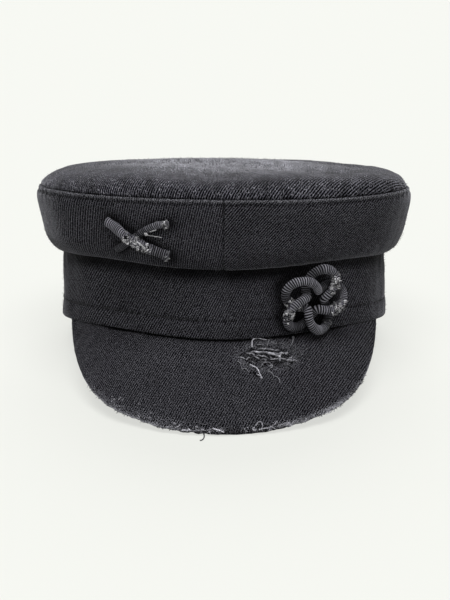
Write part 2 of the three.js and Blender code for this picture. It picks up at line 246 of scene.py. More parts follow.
def buildMesh(name, vertices, faces, materials, weave=None, values=None, faceMaterial=None):
    # one object from arrays: faces is a list of (n, 3) or (n, 4) arrays of vertex numbers
    mesh = bpy.data.meshes.new(name)
    corners = np.concatenate([f.reshape(-1) for f in faces]).astype(np.int32)
    counts = np.concatenate([np.full(len(f), f.shape[1]) for f in faces])
    starts = np.concatenate([[0], np.cumsum(counts)[:-1]]).astype(np.int32)
    mesh.vertices.add(len(vertices))
    mesh.vertices.foreach_set("co", vertices.astype(np.float32).ravel())
    mesh.loops.add(len(corners))
    mesh.loops.foreach_set("vertex_index", corners)
    mesh.polygons.add(len(counts))
    mesh.polygons.foreach_set("loop_start", starts)
    mesh.polygons.foreach_set("use_smooth", np.ones(len(counts), bool))
    for material in materials:
        mesh.materials.append(material)
    if faceMaterial is not None:
        mesh.polygons.foreach_set("material_index", faceMaterial.astype(np.int32))
    mesh.update(calc_edges=True)
    if weave is not None:
        layer = mesh.uv_layers.new(name="weave")
        layer.data.foreach_set("uv", weave[corners].astype(np.float32).ravel())
    for key, value in (values or {}).items():
        attribute = mesh.attributes.new(key, "FLOAT", "POINT")
        attribute.data.foreach_set("value", value.astype(np.float32))
    piece = bpy.data.objects.new(name, mesh)
    bpy.context.scene.collection.objects.link(piece)
    return piece


def gridNormals(grid, wrap):
    # the way that each point of a grid faces
    along = np.gradient(grid, axis=0)
    if wrap:
        along[0] = (grid[1] - grid[-1]) / 2
        along[-1] = (grid[0] - grid[-2]) / 2
    across = np.gradient(grid, axis=1)
    return unit(np.cross(along, across))


# a free edge of cloth: its radius as a share of the wall, and how thin it gets
clothEdge = {"radius": 0.55, "thinnest": 0.012}


def clothSolid(name, outer, wall, materials, weave, values=None, wrap=False, centre=False, flip=1):
    # a closed piece of cloth: outer is its outer face as a grid of points, and the wall lies behind it
    # and may vary over the grid. Free edges thin to a round. wrap joins the first column to the last,
    # and centre closes the last row
    normals = gridNormals(outer, wrap) * flip
    nu, nv = outer.shape[:2]
    edge = runLength(outer, 1)
    if not centre:
        edge = np.minimum(edge, edge[:, -1:] - edge)
    if not wrap:
        side = runLength(outer, 0)
        edge = np.minimum(edge, np.minimum(side, side[-1:] - side))
    roundness = np.clip(edge / (wall * clothEdge["radius"]), 0, 1)
    half = wall / 2 * np.sqrt(np.maximum(1 - (1 - roundness) ** 2, clothEdge["thinnest"]))
    face = outer - normals * (wall / 2 - half)[..., None]
    back = outer - normals * (wall / 2 + half)[..., None]
    vertices = np.concatenate([face.reshape(-1, 3), back.reshape(-1, 3)])
    number = np.arange(nu * nv).reshape(nu, nv)
    if wrap:
        number = np.concatenate([number, number[:1]])
    low = nu * nv
    quads = np.stack([number[:-1, :-1], number[1:, :-1], number[1:, 1:], number[:-1, 1:]], -1)
    quads = quads.reshape(-1, 4)
    strips = [number[:, 0]]
    if not centre:
        strips.append(number[::-1, -1])
    if not wrap:
        strips += [number[-1, :], number[0, ::-1]]
    rims = np.concatenate([np.stack([s[1:], s[:-1], s[:-1] + low, s[1:] + low], -1) for s in strips])
    faces = [quads, quads[:, ::-1] + low, rims]
    kinds = [np.zeros(len(quads)), np.ones(len(quads)), np.zeros(len(rims))]
    uv = np.concatenate([weave.reshape(-1, 2)] * 2)
    plain = np.zeros(nu * nv)
    extra = {key: np.concatenate([value.ravel(), plain]) for key, value in (values or {}).items()}
    if centre:
        tips = np.stack([face[:, -1].mean(0), back[:, -1].mean(0)])
        vertices = np.concatenate([vertices, tips])
        ring = number[:, -1]
        tip = np.full(len(ring) - 1, 2 * low)
        top = np.stack([ring[:-1], ring[1:], tip], -1)
        faces += [top, np.stack([ring[1:] + low, ring[:-1] + low, tip + 1], -1)]
        kinds += [np.zeros(len(top)), np.ones(len(top))]
        uv = np.concatenate([uv, np.repeat(weave[:, -1].mean(0)[None], 2, 0)])
        extra = {key: np.concatenate([value, [0, 0]]) for key, value in extra.items()}
    if flip < 0:
        faces = [f[:, ::-1] for f in faces]
    return buildMesh(name, toWorld(vertices), faces, materials, uv, extra, np.concatenate(kinds))


def tubes(paths, radii, sides=5):
    # many thin threads at once: paths is (count, points, 3) in mm, radii is (count, points)
    count, points = paths.shape[:2]
    forward = unit(np.gradient(paths, axis=1))
    mean = np.abs(forward.mean(1))
    helper = np.eye(3)[np.argmin(mean, 1)][:, None, :]
    side = unit(np.cross(forward, helper))
    other = np.cross(forward, side)
    turn = np.linspace(0, 2 * math.pi, sides, endpoint=False)
    ring = (side[:, :, None] * np.cos(turn)[:, None] + other[:, :, None] * np.sin(turn)[:, None])
    rings = paths[:, :, None] + ring * radii[:, :, None, None]
    vertices = np.concatenate([rings.reshape(-1, 3), paths[:, 0], paths[:, -1]])
    number = np.arange(count * points * sides).reshape(count, points, sides)
    nextOne = np.roll(number, -1, 2)
    quads = np.stack([number[:, :-1], nextOne[:, :-1], nextOne[:, 1:], number[:, 1:]], -1)
    first = count * points * sides + np.arange(count)[:, None] + np.zeros((1, sides), int)
    starts = np.stack([nextOne[:, 0], number[:, 0], first], -1).reshape(-1, 3)
    ends = np.stack([number[:, -1], nextOne[:, -1], first + count], -1).reshape(-1, 3)
    each = np.arange(count)
    owner = np.concatenate([np.repeat(each, points * sides), each, each])
    return vertices, quads.reshape(-1, 4), np.concatenate([starts, ends]), owner


def tonesAlong(tone, sides):
    # the tones of the tubes' vertices, in the order that tubes() makes them
    return np.concatenate([np.repeat(tone.reshape(-1), sides), tone[:, 0], tone[:, -1]])


def threadPiece(name, batches, material):
    # one piece from batches of (paths, radii, tones, sides)
    vertices, quads, tris, tones = [], [], [], []
    base = 0
    for paths, radii, tone, sides in batches:
        v, q, t, owner = tubes(paths, radii, sides)
        vertices.append(v)
        quads.append(q + base)
        tris.append(t + base)
        tones.append(tone[owner] if tone.ndim == 1 else tonesAlong(tone, sides))
        base += len(v)
    faces = [np.concatenate(quads), np.concatenate(tris)]
    piece = buildMesh(name, toWorld(np.concatenate(vertices)), faces, [material],
                      values={"tone": np.concatenate(tones)})
    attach(piece, "root")
    return piece


def fibrePaths(rng, roots, outward, lengths, points=7, lift=0.3, curl=0.5, hug=0.35, heading=None):
    # short curled fibres that start in the cloth, and stay close over it
    count = len(roots)
    direction = unit(rng.normal(size=(count, 3))) if heading is None else heading
    direction = direction - outward * (direction * outward).sum(1, keepdims=True)
    direction = unit(unit(direction) + outward * lift)
    paths = np.zeros((count, points, 3))
    paths[:, 0] = roots - outward * 0.1
    for k in range(1, points):
        height = ((paths[:, k - 1] - roots) * outward).sum(1, keepdims=True)
        direction = unit(direction + rng.normal(size=(count, 3)) * curl + outward * (hug - height) * 0.5)
        paths[:, k] = paths[:, k - 1] + direction * lengths[:, None] / (points - 1)
    return paths


def taper(count, points, radius, rng):
    # thin at the free end, and a little uneven
    fade = 1 - 0.55 * np.linspace(0, 1, points) ** 2
    return radius * rng.uniform(0.7, 1.3, (count, 1)) * fade[None, :]


def mixedTaper(count, points, sizes, shares, rng):
    # the same for threads of a few thicknesses
    return taper(count, points, 1, rng) * rng.choice(sizes, (count, 1), p=shares)


def finishPiece(piece, node):
    # a piece that stands for one of the frame's own
    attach(piece, "root")
    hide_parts(node)


def addNode(tree, kind, inputs=None, **settings):
    # a node with its settings; an input takes a value or another node's output
    node = tree.nodes.new(kind)
    for key, value in settings.items():
        setattr(node, key, value)
    for key, value in (inputs or {}).items():
        if isinstance(value, bpy.types.NodeSocket):
            tree.links.new(value, node.inputs[key])
        else:
            node.inputs[key].default_value = value
    return node


def newMaterial(name):
    # an empty material and its node tree
    material = bpy.data.materials.new(name)
    material.use_nodes = True
    material.node_tree.nodes.clear()
    return material, material.node_tree


def clothShader(tree, colour, height, look):
    # matt cotton: rough, hardly glossy, with a soft bloom of fibres at its edges
    bump = addNode(tree, "ShaderNodeBump", {"Height": height, "Distance": look["bumpDepth"] * 0.001})
    shader = addNode(tree, "ShaderNodeBsdfPrincipled", {
        "Base Color": colour, "Roughness": look["roughness"], "Specular IOR Level": look["specular"],
        "Sheen Weight": look["sheen"], "Sheen Roughness": look["sheenRoughness"],
        "Sheen Tint": linearColour(look["sheenTint"]), "Normal": bump.outputs["Normal"]})
    addNode(tree, "ShaderNodeOutputMaterial", {"Surface": shader.outputs["BSDF"]})


def denimTwill(name, look):
    # washed black denim, woven as a twill: slanted ribs of dyed warp, broken into short light dashes
    # where they are worn, with near-black grooves and pale specks of weft between them
    material, tree = newMaterial(name)
    place = addNode(tree, "ShaderNodeUVMap", uv_map="weave").outputs["UV"]
    waver = addNode(tree, "ShaderNodeTexNoise", {"Vector": place, "Scale": 1 / 11, "Detail": 2.0},
                    noise_dimensions="2D").outputs["Fac"]
    slant = (0, 0, -math.radians(look["ribAngle"]))
    turned = addNode(tree, "ShaderNodeMapping", {"Vector": place, "Rotation": slant}).outputs["Vector"]
    parts = addNode(tree, "ShaderNodeSeparateXYZ", {"Vector": turned})
    drift = addNode(tree, "ShaderNodeMath", {0: waver, 1: look["waver"], 2: parts.outputs["Y"]},
                    operation="MULTIPLY_ADD").outputs[0]
    phase = addNode(tree, "ShaderNodeMath", {0: drift, 1: look["ribPitch"]}, operation="DIVIDE").outputs[0]
    rib = addNode(tree, "ShaderNodeMath", {0: phase}, operation="FLOOR").outputs[0]
    turnOf = addNode(tree, "ShaderNodeMath", {0: phase, 1: 2 * math.pi}, operation="MULTIPLY").outputs[0]
    wave = addNode(tree, "ShaderNodeMath", {0: turnOf}, operation="COSINE").outputs[0]
    ridge = addNode(tree, "ShaderNodeMapRange", {"Value": wave, "From Min": 1.0, "From Max": -0.9},
                    ).outputs[0]
    # dashes: each rib has its own row of long and short light stretches
    dashAlong = addNode(tree, "ShaderNodeMath", {0: parts.outputs["X"], 1: look["dashLength"]},
                        operation="DIVIDE").outputs[0]
    ribSeed = addNode(tree, "ShaderNodeMath", {0: rib, 1: 7.31}, operation="MULTIPLY").outputs[0]
    dashPlace = addNode(tree, "ShaderNodeCombineXYZ", {"X": dashAlong, "Y": ribSeed}).outputs[0]
    dashNoise = addNode(tree, "ShaderNodeTexNoise", {"Vector": dashPlace, "Scale": 1.0, "Detail": 2.0,
                                                     "Roughness": 0.65},
                        noise_dimensions="2D").outputs["Fac"]
    dash = addNode(tree, "ShaderNodeMapRange", {"Value": dashNoise, "From Min": 0.36, "From Max": 0.6,
                                                "To Min": look["dashLow"]}).outputs[0]
    crest = addNode(tree, "ShaderNodeMath", {0: ridge, 1: look["narrow"]}, operation="POWER").outputs[0]
    lit = addNode(tree, "ShaderNodeMath", {0: crest, 1: dash}, operation="MULTIPLY").outputs[0]
    # the warp yarns themselves, one every 0.5 mm, drawn as coarse as they can just be seen
    drawn = addNode(tree, "ShaderNodeMapping", {"Vector": place, "Scale": (1, 1 / look["grainLength"], 1)},
                    ).outputs["Vector"]
    grain = addNode(tree, "ShaderNodeTexNoise", {"Vector": drawn, "Scale": 1 / look["grain"],
                                                 "Detail": 1.0, "Roughness": 0.7},
                    noise_dimensions="2D").outputs["Fac"]
    speck = addNode(tree, "ShaderNodeMapRange", {"Value": grain, "From Min": 0.61, "From Max": 0.77},
                    ).outputs[0]
    # cloudy paler and darker places from the washing
    wash = addNode(tree, "ShaderNodeTexNoise", {"Vector": drawn, "Scale": 1 / look["washSize"],
                                                "Detail": 3.0},
                   noise_dimensions="2D").outputs["Fac"]
    washed = addNode(tree, "ShaderNodeMapRange", {"Value": wash, "From Min": 0.3, "From Max": 0.7,
                                                  "To Min": 1 - look["wash"], "To Max": 1 + look["wash"]},
                     ).outputs[0]
    deep = addNode(tree, "ShaderNodeMix", {"Factor": ridge, 6: linearColour(look["groove"]),
                                           7: linearColour(look["rib"])}, data_type="RGBA").outputs[2]
    dashed = addNode(tree, "ShaderNodeMix", {"Factor": lit, 6: deep, 7: linearColour(look["dash"])},
                     data_type="RGBA").outputs[2]
    speckShare = addNode(tree, "ShaderNodeMath", {0: speck, 1: look["specks"]},
                         operation="MULTIPLY").outputs[0]
    specked = addNode(tree, "ShaderNodeMix", {"Factor": speckShare, 6: dashed,
                                              7: linearColour(look["weft"])}, data_type="RGBA").outputs[2]
    # worn places: folds and edges where the dye has rubbed off. On the crown top the same paler mix is
    # painted light, growing toward the middle of the top
    wornAndPaintedLight = addNode(tree, "ShaderNodeAttribute", attribute_name="wearAndPaintedLight").outputs["Fac"]
    rubbed = addNode(tree, "ShaderNodeMath", {0: wornAndPaintedLight, 1: 0.5, 2: grain},
                     operation="MULTIPLY_ADD").outputs[0]
    rubShare = addNode(tree, "ShaderNodeMapRange", {"Value": rubbed, "From Min": 0.66, "From Max": 0.84},
                       ).outputs[0]
    rubbedCloth = addNode(tree, "ShaderNodeMix", {"Factor": rubShare, 6: specked,
                                                  7: linearColour(look["wornAndPaintedLight"])},
                          data_type="RGBA").outputs[2]
    # painted shade: the cloth is coloured darker where shade falls, in seams, stitch holes and joins, under
    # folds and cords, in the torn place and on the peak's under piece
    dark = addNode(tree, "ShaderNodeAttribute", attribute_name="paintedShade").outputs["Fac"]
    shade = addNode(tree, "ShaderNodeMath", {0: dark, 1: -0.8, 2: washed},
                    operation="MULTIPLY_ADD").outputs[0]
    deepest = addNode(tree, "ShaderNodeMath", {0: shade, 1: 0.12}, operation="MAXIMUM").outputs[0]
    tinted = addNode(tree, "ShaderNodeVectorMath", {0: rubbedCloth, "Scale": deepest},
                     operation="SCALE").outputs[0]
    body = addNode(tree, "ShaderNodeMath", {0: lit, 1: 0.55, 2: ridge},
                   operation="MULTIPLY_ADD").outputs[0]
    height = addNode(tree, "ShaderNodeMath", {0: grain, 1: 0.6, 2: body},
                     operation="MULTIPLY_ADD").outputs[0]
    clothShader(tree, tinted, height, look)
    return material


def gimpCord(name, look):
    # cotton gimp: a core wound with fine cord, so it shows close round ribs, and where it is chafed the
    # windings break up into pale fibres. Painted highlight and shade: the crests of the windings are
    # coloured pale and the lines between them near-black
    material, tree = newMaterial(name)
    place = addNode(tree, "ShaderNodeTexCoord").outputs["Object"]
    rib = addNode(tree, "ShaderNodeAttribute", attribute_name="rib").outputs["Fac"]
    fray = addNode(tree, "ShaderNodeAttribute", attribute_name="fray").outputs["Fac"]
    # fibres of 0.02 mm are too fine to show, so they are drawn as clumps of about half a millimetre
    fibre = addNode(tree, "ShaderNodeTexNoise", {"Vector": place, "Scale": 1000 / 0.55, "Detail": 2.0,
                                                 "Roughness": 0.6}).outputs["Fac"]
    patchy = addNode(tree, "ShaderNodeTexNoise", {"Vector": place, "Scale": 1000 / 4.0, "Detail": 2.0},
                     ).outputs["Fac"]
    # painted highlight and shade: pale on the crests of the windings, near-black between them, with pale
    # lint only on the crests
    winding = addNode(tree, "ShaderNodeMix", {"Factor": rib, 6: linearColour(look["groove"]),
                                              7: linearColour(look["rib"])}, data_type="RGBA").outputs[2]
    glint = addNode(tree, "ShaderNodeMapRange", {"Value": fibre, "From Min": 0.45, "From Max": 0.8,
                                                 "To Max": 0.5}).outputs[0]
    lit = addNode(tree, "ShaderNodeMath", {0: glint, 1: rib}, operation="MULTIPLY").outputs[0]
    linty = addNode(tree, "ShaderNodeMix", {"Factor": lit, 6: winding, 7: linearColour(look["lint"])},
                    data_type="RGBA").outputs[2]
    chafed = addNode(tree, "ShaderNodeMath", {0: fibre, 1: patchy}, operation="ADD").outputs[0]
    chafeEdge = addNode(tree, "ShaderNodeMapRange", {"Value": chafed, "From Min": 0.95, "From Max": 1.15},
                        ).outputs[0]
    chafeShare = addNode(tree, "ShaderNodeMath", {0: chafeEdge, 1: fray}, operation="MULTIPLY").outputs[0]
    colour = addNode(tree, "ShaderNodeMix", {"Factor": chafeShare, 6: linty,
                                             7: linearColour(look["frayed"])}, data_type="RGBA").outputs[2]
    clothShader(tree, colour, fibre, look)
    return material


def looseCotton(name, look):
    # broken yarn ends: undyed pale weft and dark warp, dull and hairy
    material, tree = newMaterial(name)
    place = addNode(tree, "ShaderNodeTexCoord").outputs["Object"]
    tone = addNode(tree, "ShaderNodeAttribute", attribute_name="tone").outputs["Fac"]
    hair = addNode(tree, "ShaderNodeTexNoise", {"Vector": place, "Scale": 1000 / 0.7, "Detail": 1.0},
                   ).outputs["Fac"]
    mixed = addNode(tree, "ShaderNodeMix", {"Factor": tone, 6: linearColour(look["warp"]),
                                            7: linearColour(look["weft"])}, data_type="RGBA").outputs[2]
    unevenness = addNode(tree, "ShaderNodeMapRange", {"Value": hair, "From Min": 0.3, "From Max": 0.7,
                                                      "To Min": 0.7, "To Max": 1.15}).outputs[0]
    colour = addNode(tree, "ShaderNodeVectorMath", {0: mixed, "Scale": unevenness},
                     operation="SCALE").outputs[0]
    clothShader(tree, colour, hair, look)
    return material


# sizes in mm and angles in degrees. Heavy denim has a twill rib every 0.9 to 1.2 mm: at the upper end
# the ribs can just be seen, and a dash is one float of the warp
denimLook = {
    "groove": "#010102", "rib": "#060608", "dash": "#504f57", "weft": "#d0cfd8", "wornAndPaintedLight": "#7e7e84",
    "ribAngle": 57, "ribPitch": 1.2, "narrow": 5.2, "waver": 0.2,
    "dashLength": 0.8, "dashLow": 0.3, "grain": 0.45, "grainLength": 1.0, "specks": 0.25,
    "washSize": 26, "wash": 0.1, "bumpDepth": 0.1, "roughness": 0.95, "specular": 0.03,
    "sheen": 0.46, "sheenRoughness": 0.2, "sheenTint": "#d4d4dc",
}
# the reverse shows more of the pale weft, and its ribs run the other way
reverseLook = dict(denimLook, groove="#101013", rib="#26262a", dash="#66666c", ribAngle=123, specks=0.5,
                   sheen=0.1)
cordLook = {
    # painted shade and highlight: the near-black between the windings and the pale of their crests
    "groove": "#050506", "rib": "#91909a", "lint": "#c0bfc8", "frayed": "#55545d",
    "bumpDepth": 0.1, "roughness": 0.92, "specular": 0.08,
    "sheen": 0.05, "sheenRoughness": 0.14, "sheenTint": "#d4d4dc",
}
threadLook = {
    "warp": "#0a0a0c", "weft": "#cfced7", "bumpDepth": 0.03, "roughness": 0.92, "specular": 0.08,
    "sheen": 0.03, "sheenRoughness": 0.3, "sheenTint": "#ffffff",
}
reverseDenim = denimTwill("reverse of black denim", reverseLook)
cottonGimp = gimpCord("cotton gimp cord", cordLook)
cottonThread = looseCotton("loose cotton yarn", threadLook)
gimpLint = looseCotton("loose gimp fibres", dict(threadLook, weft="#f6f5fa"))
print("materials ready")

# spread outside the band and height over the rim, from the inside of the fold up to the seam
sideRows = [(0.3, 37.4), (1.8, 36.7), (3.7, 37.5), (6.2, 39.9), (8.5, 43.5), (10.0, 47.5), (11.7, 56.0),
            (13.1, 64.5), (13.2, 69.5), (12.2, 74.05)]
acrossStep = 0.95
sideLine, sideRun = smoothCurve(sideRows, crowdedSteps(acrossStep))

# where the cords lie: two cross on the left of the side crown, and one is looped into a rosette on the
# right of the band. Gimp has about one winding a millimetre. Widths, heights, pitches and depths are in mm;
# chafed gives places as shares of the length, with the reach in mm and how badly; dark is how far painted
# shade reaches on the cloth beside the cord: fully, and fading
crossOver = {
    "name": "cross_cord_over", "width": 5.3, "height": 4.2, "ribPitch": 1.2, "ribDepth": 0.3, "starts": 1,
    "closed": False, "seed": 81, "clumps": 60, "knots": 26, "dark": (3.0, 2.6),
    "chafed": [(0.43, 2.2, 0.7), (0.57, 2.8, 1.0), (0.69, 2.6, 0.9), (0.99, 1.2, 0.5)],
    # angle round the cap in degrees, height over the rim, how far it stands clear of the cloth
    "route": [(-36.2, 60.0, 0.5), (-33.2, 57.2, 1.0), (-29.4, 53.4, 3.3), (-26.6, 50.8, 3.6),
              (-23.2, 47.8, 2.4), (-20, 45.4, 1.0), (-16.8, 43.6, 0.6)],
    # broken yarns over the chafed part: the same three sizes for each point, then thickness and tone
    "strands": [
        ([(-28.6, 50.6, 7.4), (-28.3, 49.6, 8.2), (-27.7, 49.4, 8.2), (-27.6, 50.4, 8.0)], 0.34, 0.7),
        ([(-26.6, 51.0, 7.8), (-25.8, 50.0, 8.3), (-25.4, 49.2, 7.8)], 0.22, 0.4),
        ([(-25.2, 50.6, 7.8), (-24.4, 50.6, 8.2), (-23.8, 49.8, 8.0), (-24.3, 49.0, 7.4)], 0.26, 0.6),
        ([(-23.8, 49.4, 7.4), (-23.2, 48.6, 7.7), (-22.8, 47.6, 7.2), (-23.3, 47.0, 6.6)], 0.26, 0.65),
        ([(-22.6, 46.4, 5.8), (-22.0, 45.6, 6.0), (-21.6, 46.2, 6.0)], 0.24, 0.45),
        ([(-18.0, 43.8, 4.6), (-17.5, 43.2, 5.0), (-17.1, 43.9, 5.0)], 0.24, 0.45),
    ],
}
crossUnder = {
    "name": "cross_cord_under", "width": 3.8, "height": 3.0, "ribPitch": 1.08, "ribDepth": 0.14,
    "starts": 2, "closed": False, "seed": 82, "clumps": 18, "knots": 5, "dark": (2.0, 2.4),
    "chafed": [(0.04, 2.0, 0.5)],
    "route": [(-16.0, 60.7, 0.5), (-19.4, 59.9, 0.5), (-22.8, 57.4, 0.4), (-26, 54, 0.3), (-29.4, 50, 0.3),
              (-32.6, 46.3, 0.3), (-35.0, 44.4, 0.3)],
    # a broken yarn that stands out beside the crossing, with a bright knot where it starts
    "strands": [
        ([(-23.4, 55.2, 3.4), (-22.6, 54.6, 4.6), (-20.6, 54.3, 5.0), (-18.0, 53.7, 4.6)], 0.24, 0.3),
        ([(-23.2, 55.4, 3.6), (-22.9, 54.4, 4.4), (-22.2, 54.8, 4.8), (-22.7, 55.6, 4.6)], 0.36, 0.55),
        ([(-21.6, 56.2, 3.6), (-20.9, 56.6, 4.4), (-20.2, 57.2, 4.2), (-19.6, 57.5, 3.6)], 0.24, 0.42),
        ([(-17.6, 60.4, 4.4), (-17.0, 61.4, 4.6), (-16.4, 60.6, 4.6)], 0.24, 0.4),
    ],
}
rosette = {
    "name": "rosette_cord", "width": 4.8, "height": 4.0, "ribPitch": 1.12, "ribDepth": 0.3, "starts": 1,
    "closed": True, "seed": 83, "clumps": 140, "knots": 120, "dark": (2.4, 2.6),
    "chafed": [(0.05, 5.5, 1.0), (0.17, 2.5, 0.5), (0.33, 5, 0.9), (0.64, 5, 1.0), (0.83, 4, 0.9)],
    # its middle on the band, the radii that its loops run between, and how far it stands clear of the cloth
    "angle": math.radians(30.5), "middle": 17.5, "inner": 5.4, "outer": 17.0, "stretch": 1.14, "lobes": 5,
    "weave": 2.2, "clearBottom": 0.6, "clearTop": 6.4, "turn": math.radians(14),
}


def sideSpread(height):
    # how far the side crown stands out at a height
    rows = np.array(sideRows[1:])
    return np.interp(height, rows[:, 1], rows[:, 0])


def overPanel(route, count, rise=0.0):
    # a run of points over the side crown, from (degrees round, height, mm clear of the cloth)
    angle, height, clear = smoothCurve([(math.radians(a), h, c) for a, h, c in route], count=count)[0].T
    spread = sideSpread(height)
    outward = capNormal(angle, spread, height)
    foot = capPoint(angle, spread, height)
    return foot + outward * (clear + rise)[:, None], outward, foot


def routeOfRosette(cord):
    # a closed curve that goes round twice and passes over and under itself between its loops
    w = np.linspace(0, 4 * math.pi, 900, endpoint=False)
    half = cord["lobes"] / 2
    reach = (cord["outer"] + cord["inner"]) / 2 + (cord["outer"] - cord["inner"]) / 2 * np.cos(half * w)
    across = cord["stretch"] * reach * np.sin(w + cord["turn"])
    height = cord["middle"] + reach * np.cos(w + cord["turn"])
    rise = np.clip((height - cord["middle"]) / (2 * cord["outer"]) + 0.5, 0, 1)
    clear = cord["clearBottom"] + (cord["clearTop"] - cord["clearBottom"]) * rise ** 1.6
    over = cord["weave"] * (1 + np.sin(half * w))
    centre = capPoint(cord["angle"], 0, cord["middle"])
    angle = cord["angle"] + across / math.hypot(centre[0], centre[1])
    outward = capNormal(angle, 0, height)
    foot = capPoint(angle, 0, height)
    return foot + outward * (clear + over + cord["height"] / 2)[:, None], outward, foot


def besideCord(points, foot, cord):
    # 1 on the cloth under a cord and fading beside it: where shade is painted on the cloth
    half, reach = cord["dark"]
    away = np.full(points.shape[:-1], 1e9)
    for place in foot[::4]:
        away = np.minimum(away, np.linalg.norm(points - place, axis=-1))
    return np.exp(-np.maximum(away - half, 0) / reach)


overMiddle, overOutward, overFoot = overPanel(crossOver["route"], 300, crossOver["height"] / 2)
underMiddle, underOutward, underFoot = overPanel(crossUnder["route"], 300, crossUnder["height"] / 2)
rosetteMiddle, rosetteOutward, rosetteFoot = routeOfRosette(rosette)
# painted shade: the windings are coloured darker where a cord dips under another or into the shadow of the
# fold
alongCross = np.linspace(0, 1, len(underMiddle))
underShade = 0.4 + 0.45 * (1 - smoothStep(alongCross, 0.15, 0.45))
overShade = 1 - 0.5 * smoothStep(alongCross, 0.6, 0.85)
twice = np.linspace(0, 4 * math.pi, len(rosetteMiddle), endpoint=False)
rosetteShade = 0.35 + 0.65 * smoothStep(0.5 + 0.5 * np.sin(rosette["lobes"] / 2 * twice), 0.1, 0.6)

# side panels: they stand out over the band, turn under at a soft fold and meet the crown at a seam
sidePanel = {
    "wall": 1.8,
    "step": 1.15,
    "plainFrom": 2.2,
    "freeFromFold": 6,
    "freeFromSeam": 5,
    "lump": 0.35,
    "lumpLength": 70,
    "ripple": 0.05,
    "rippleLength": 13,
    # the bead along the seam and the groove beside it: mm up or down, then the place and the width in mm
    "seamLap": 0.25,
    "seamLength": 640,
    "seamBead": 0.45,
    "beadAt": (1.1, 0.9),
    "seamGroove": 0.4,
    "grooveAt": (2.9, 0.7),
    "stitchPitch": 3.4,
    "pucker": 0.28,
    "puckerLength": 6.5,
    "puckerFade": 3.5,
    "seamWear": 0.46,
    "seamWearAt": (1.2, 0.9),
    # painted shade in the groove beside the seam, darkest at each stitch
    "paintedSeamShade": 1.1,
    "paintedSeamShadeAt": (3.1, 0.8),
    # where two panels meet end to end, at the centre front and back
    "joinDip": 0.35,
    "joinWidth": 1.4,
    # painted shade along the join
    "paintedJoinShade": 0.6,
    "paintedJoinShadeWidth": 0.5,
    # the soft fold at the bottom; on the right the cloth bulges over it
    "foldWear": 0.08,
    "foldWearAt": (3.6, 1.5),
    "rightFold": 0.9,
    "rightFoldAt": (5.5, 4.5),
    "rightFoldSide": (92, 34),
    # painted shade on the cloth under and beside the cords
    "paintedCordShade": 0.85,
    "leftRibAngle": 75.5,
    "rightRibAngle": 50,
    "ribPitch": 1.22,
}


def seamPucker(angle):
    # the seam's pull, the same in both pieces that it joins
    rng = np.random.default_rng(5)
    total = np.zeros(np.shape(angle))
    around = sidePanel["seamLength"] / (2 * math.pi)
    for _ in range(9):
        k = around * 2 * math.pi / (sidePanel["puckerLength"] * rng.uniform(0.6, 1.9))
        total += np.cos(k * angle + rng.uniform(0, 6.28)) / 3
    return total


def drawnRun(angle, reach):
    # how far round the twill is laid: true to size in front, and drawn coarser toward the sides and the
    # back, so that its ribs still show where the cloth turns away
    turned, size = 0.93, np.abs(angle)
    further = math.sin(turned) + math.cos(turned) * (size - turned)
    return np.sign(angle) * reach * np.where(size < turned, np.sin(size), further)


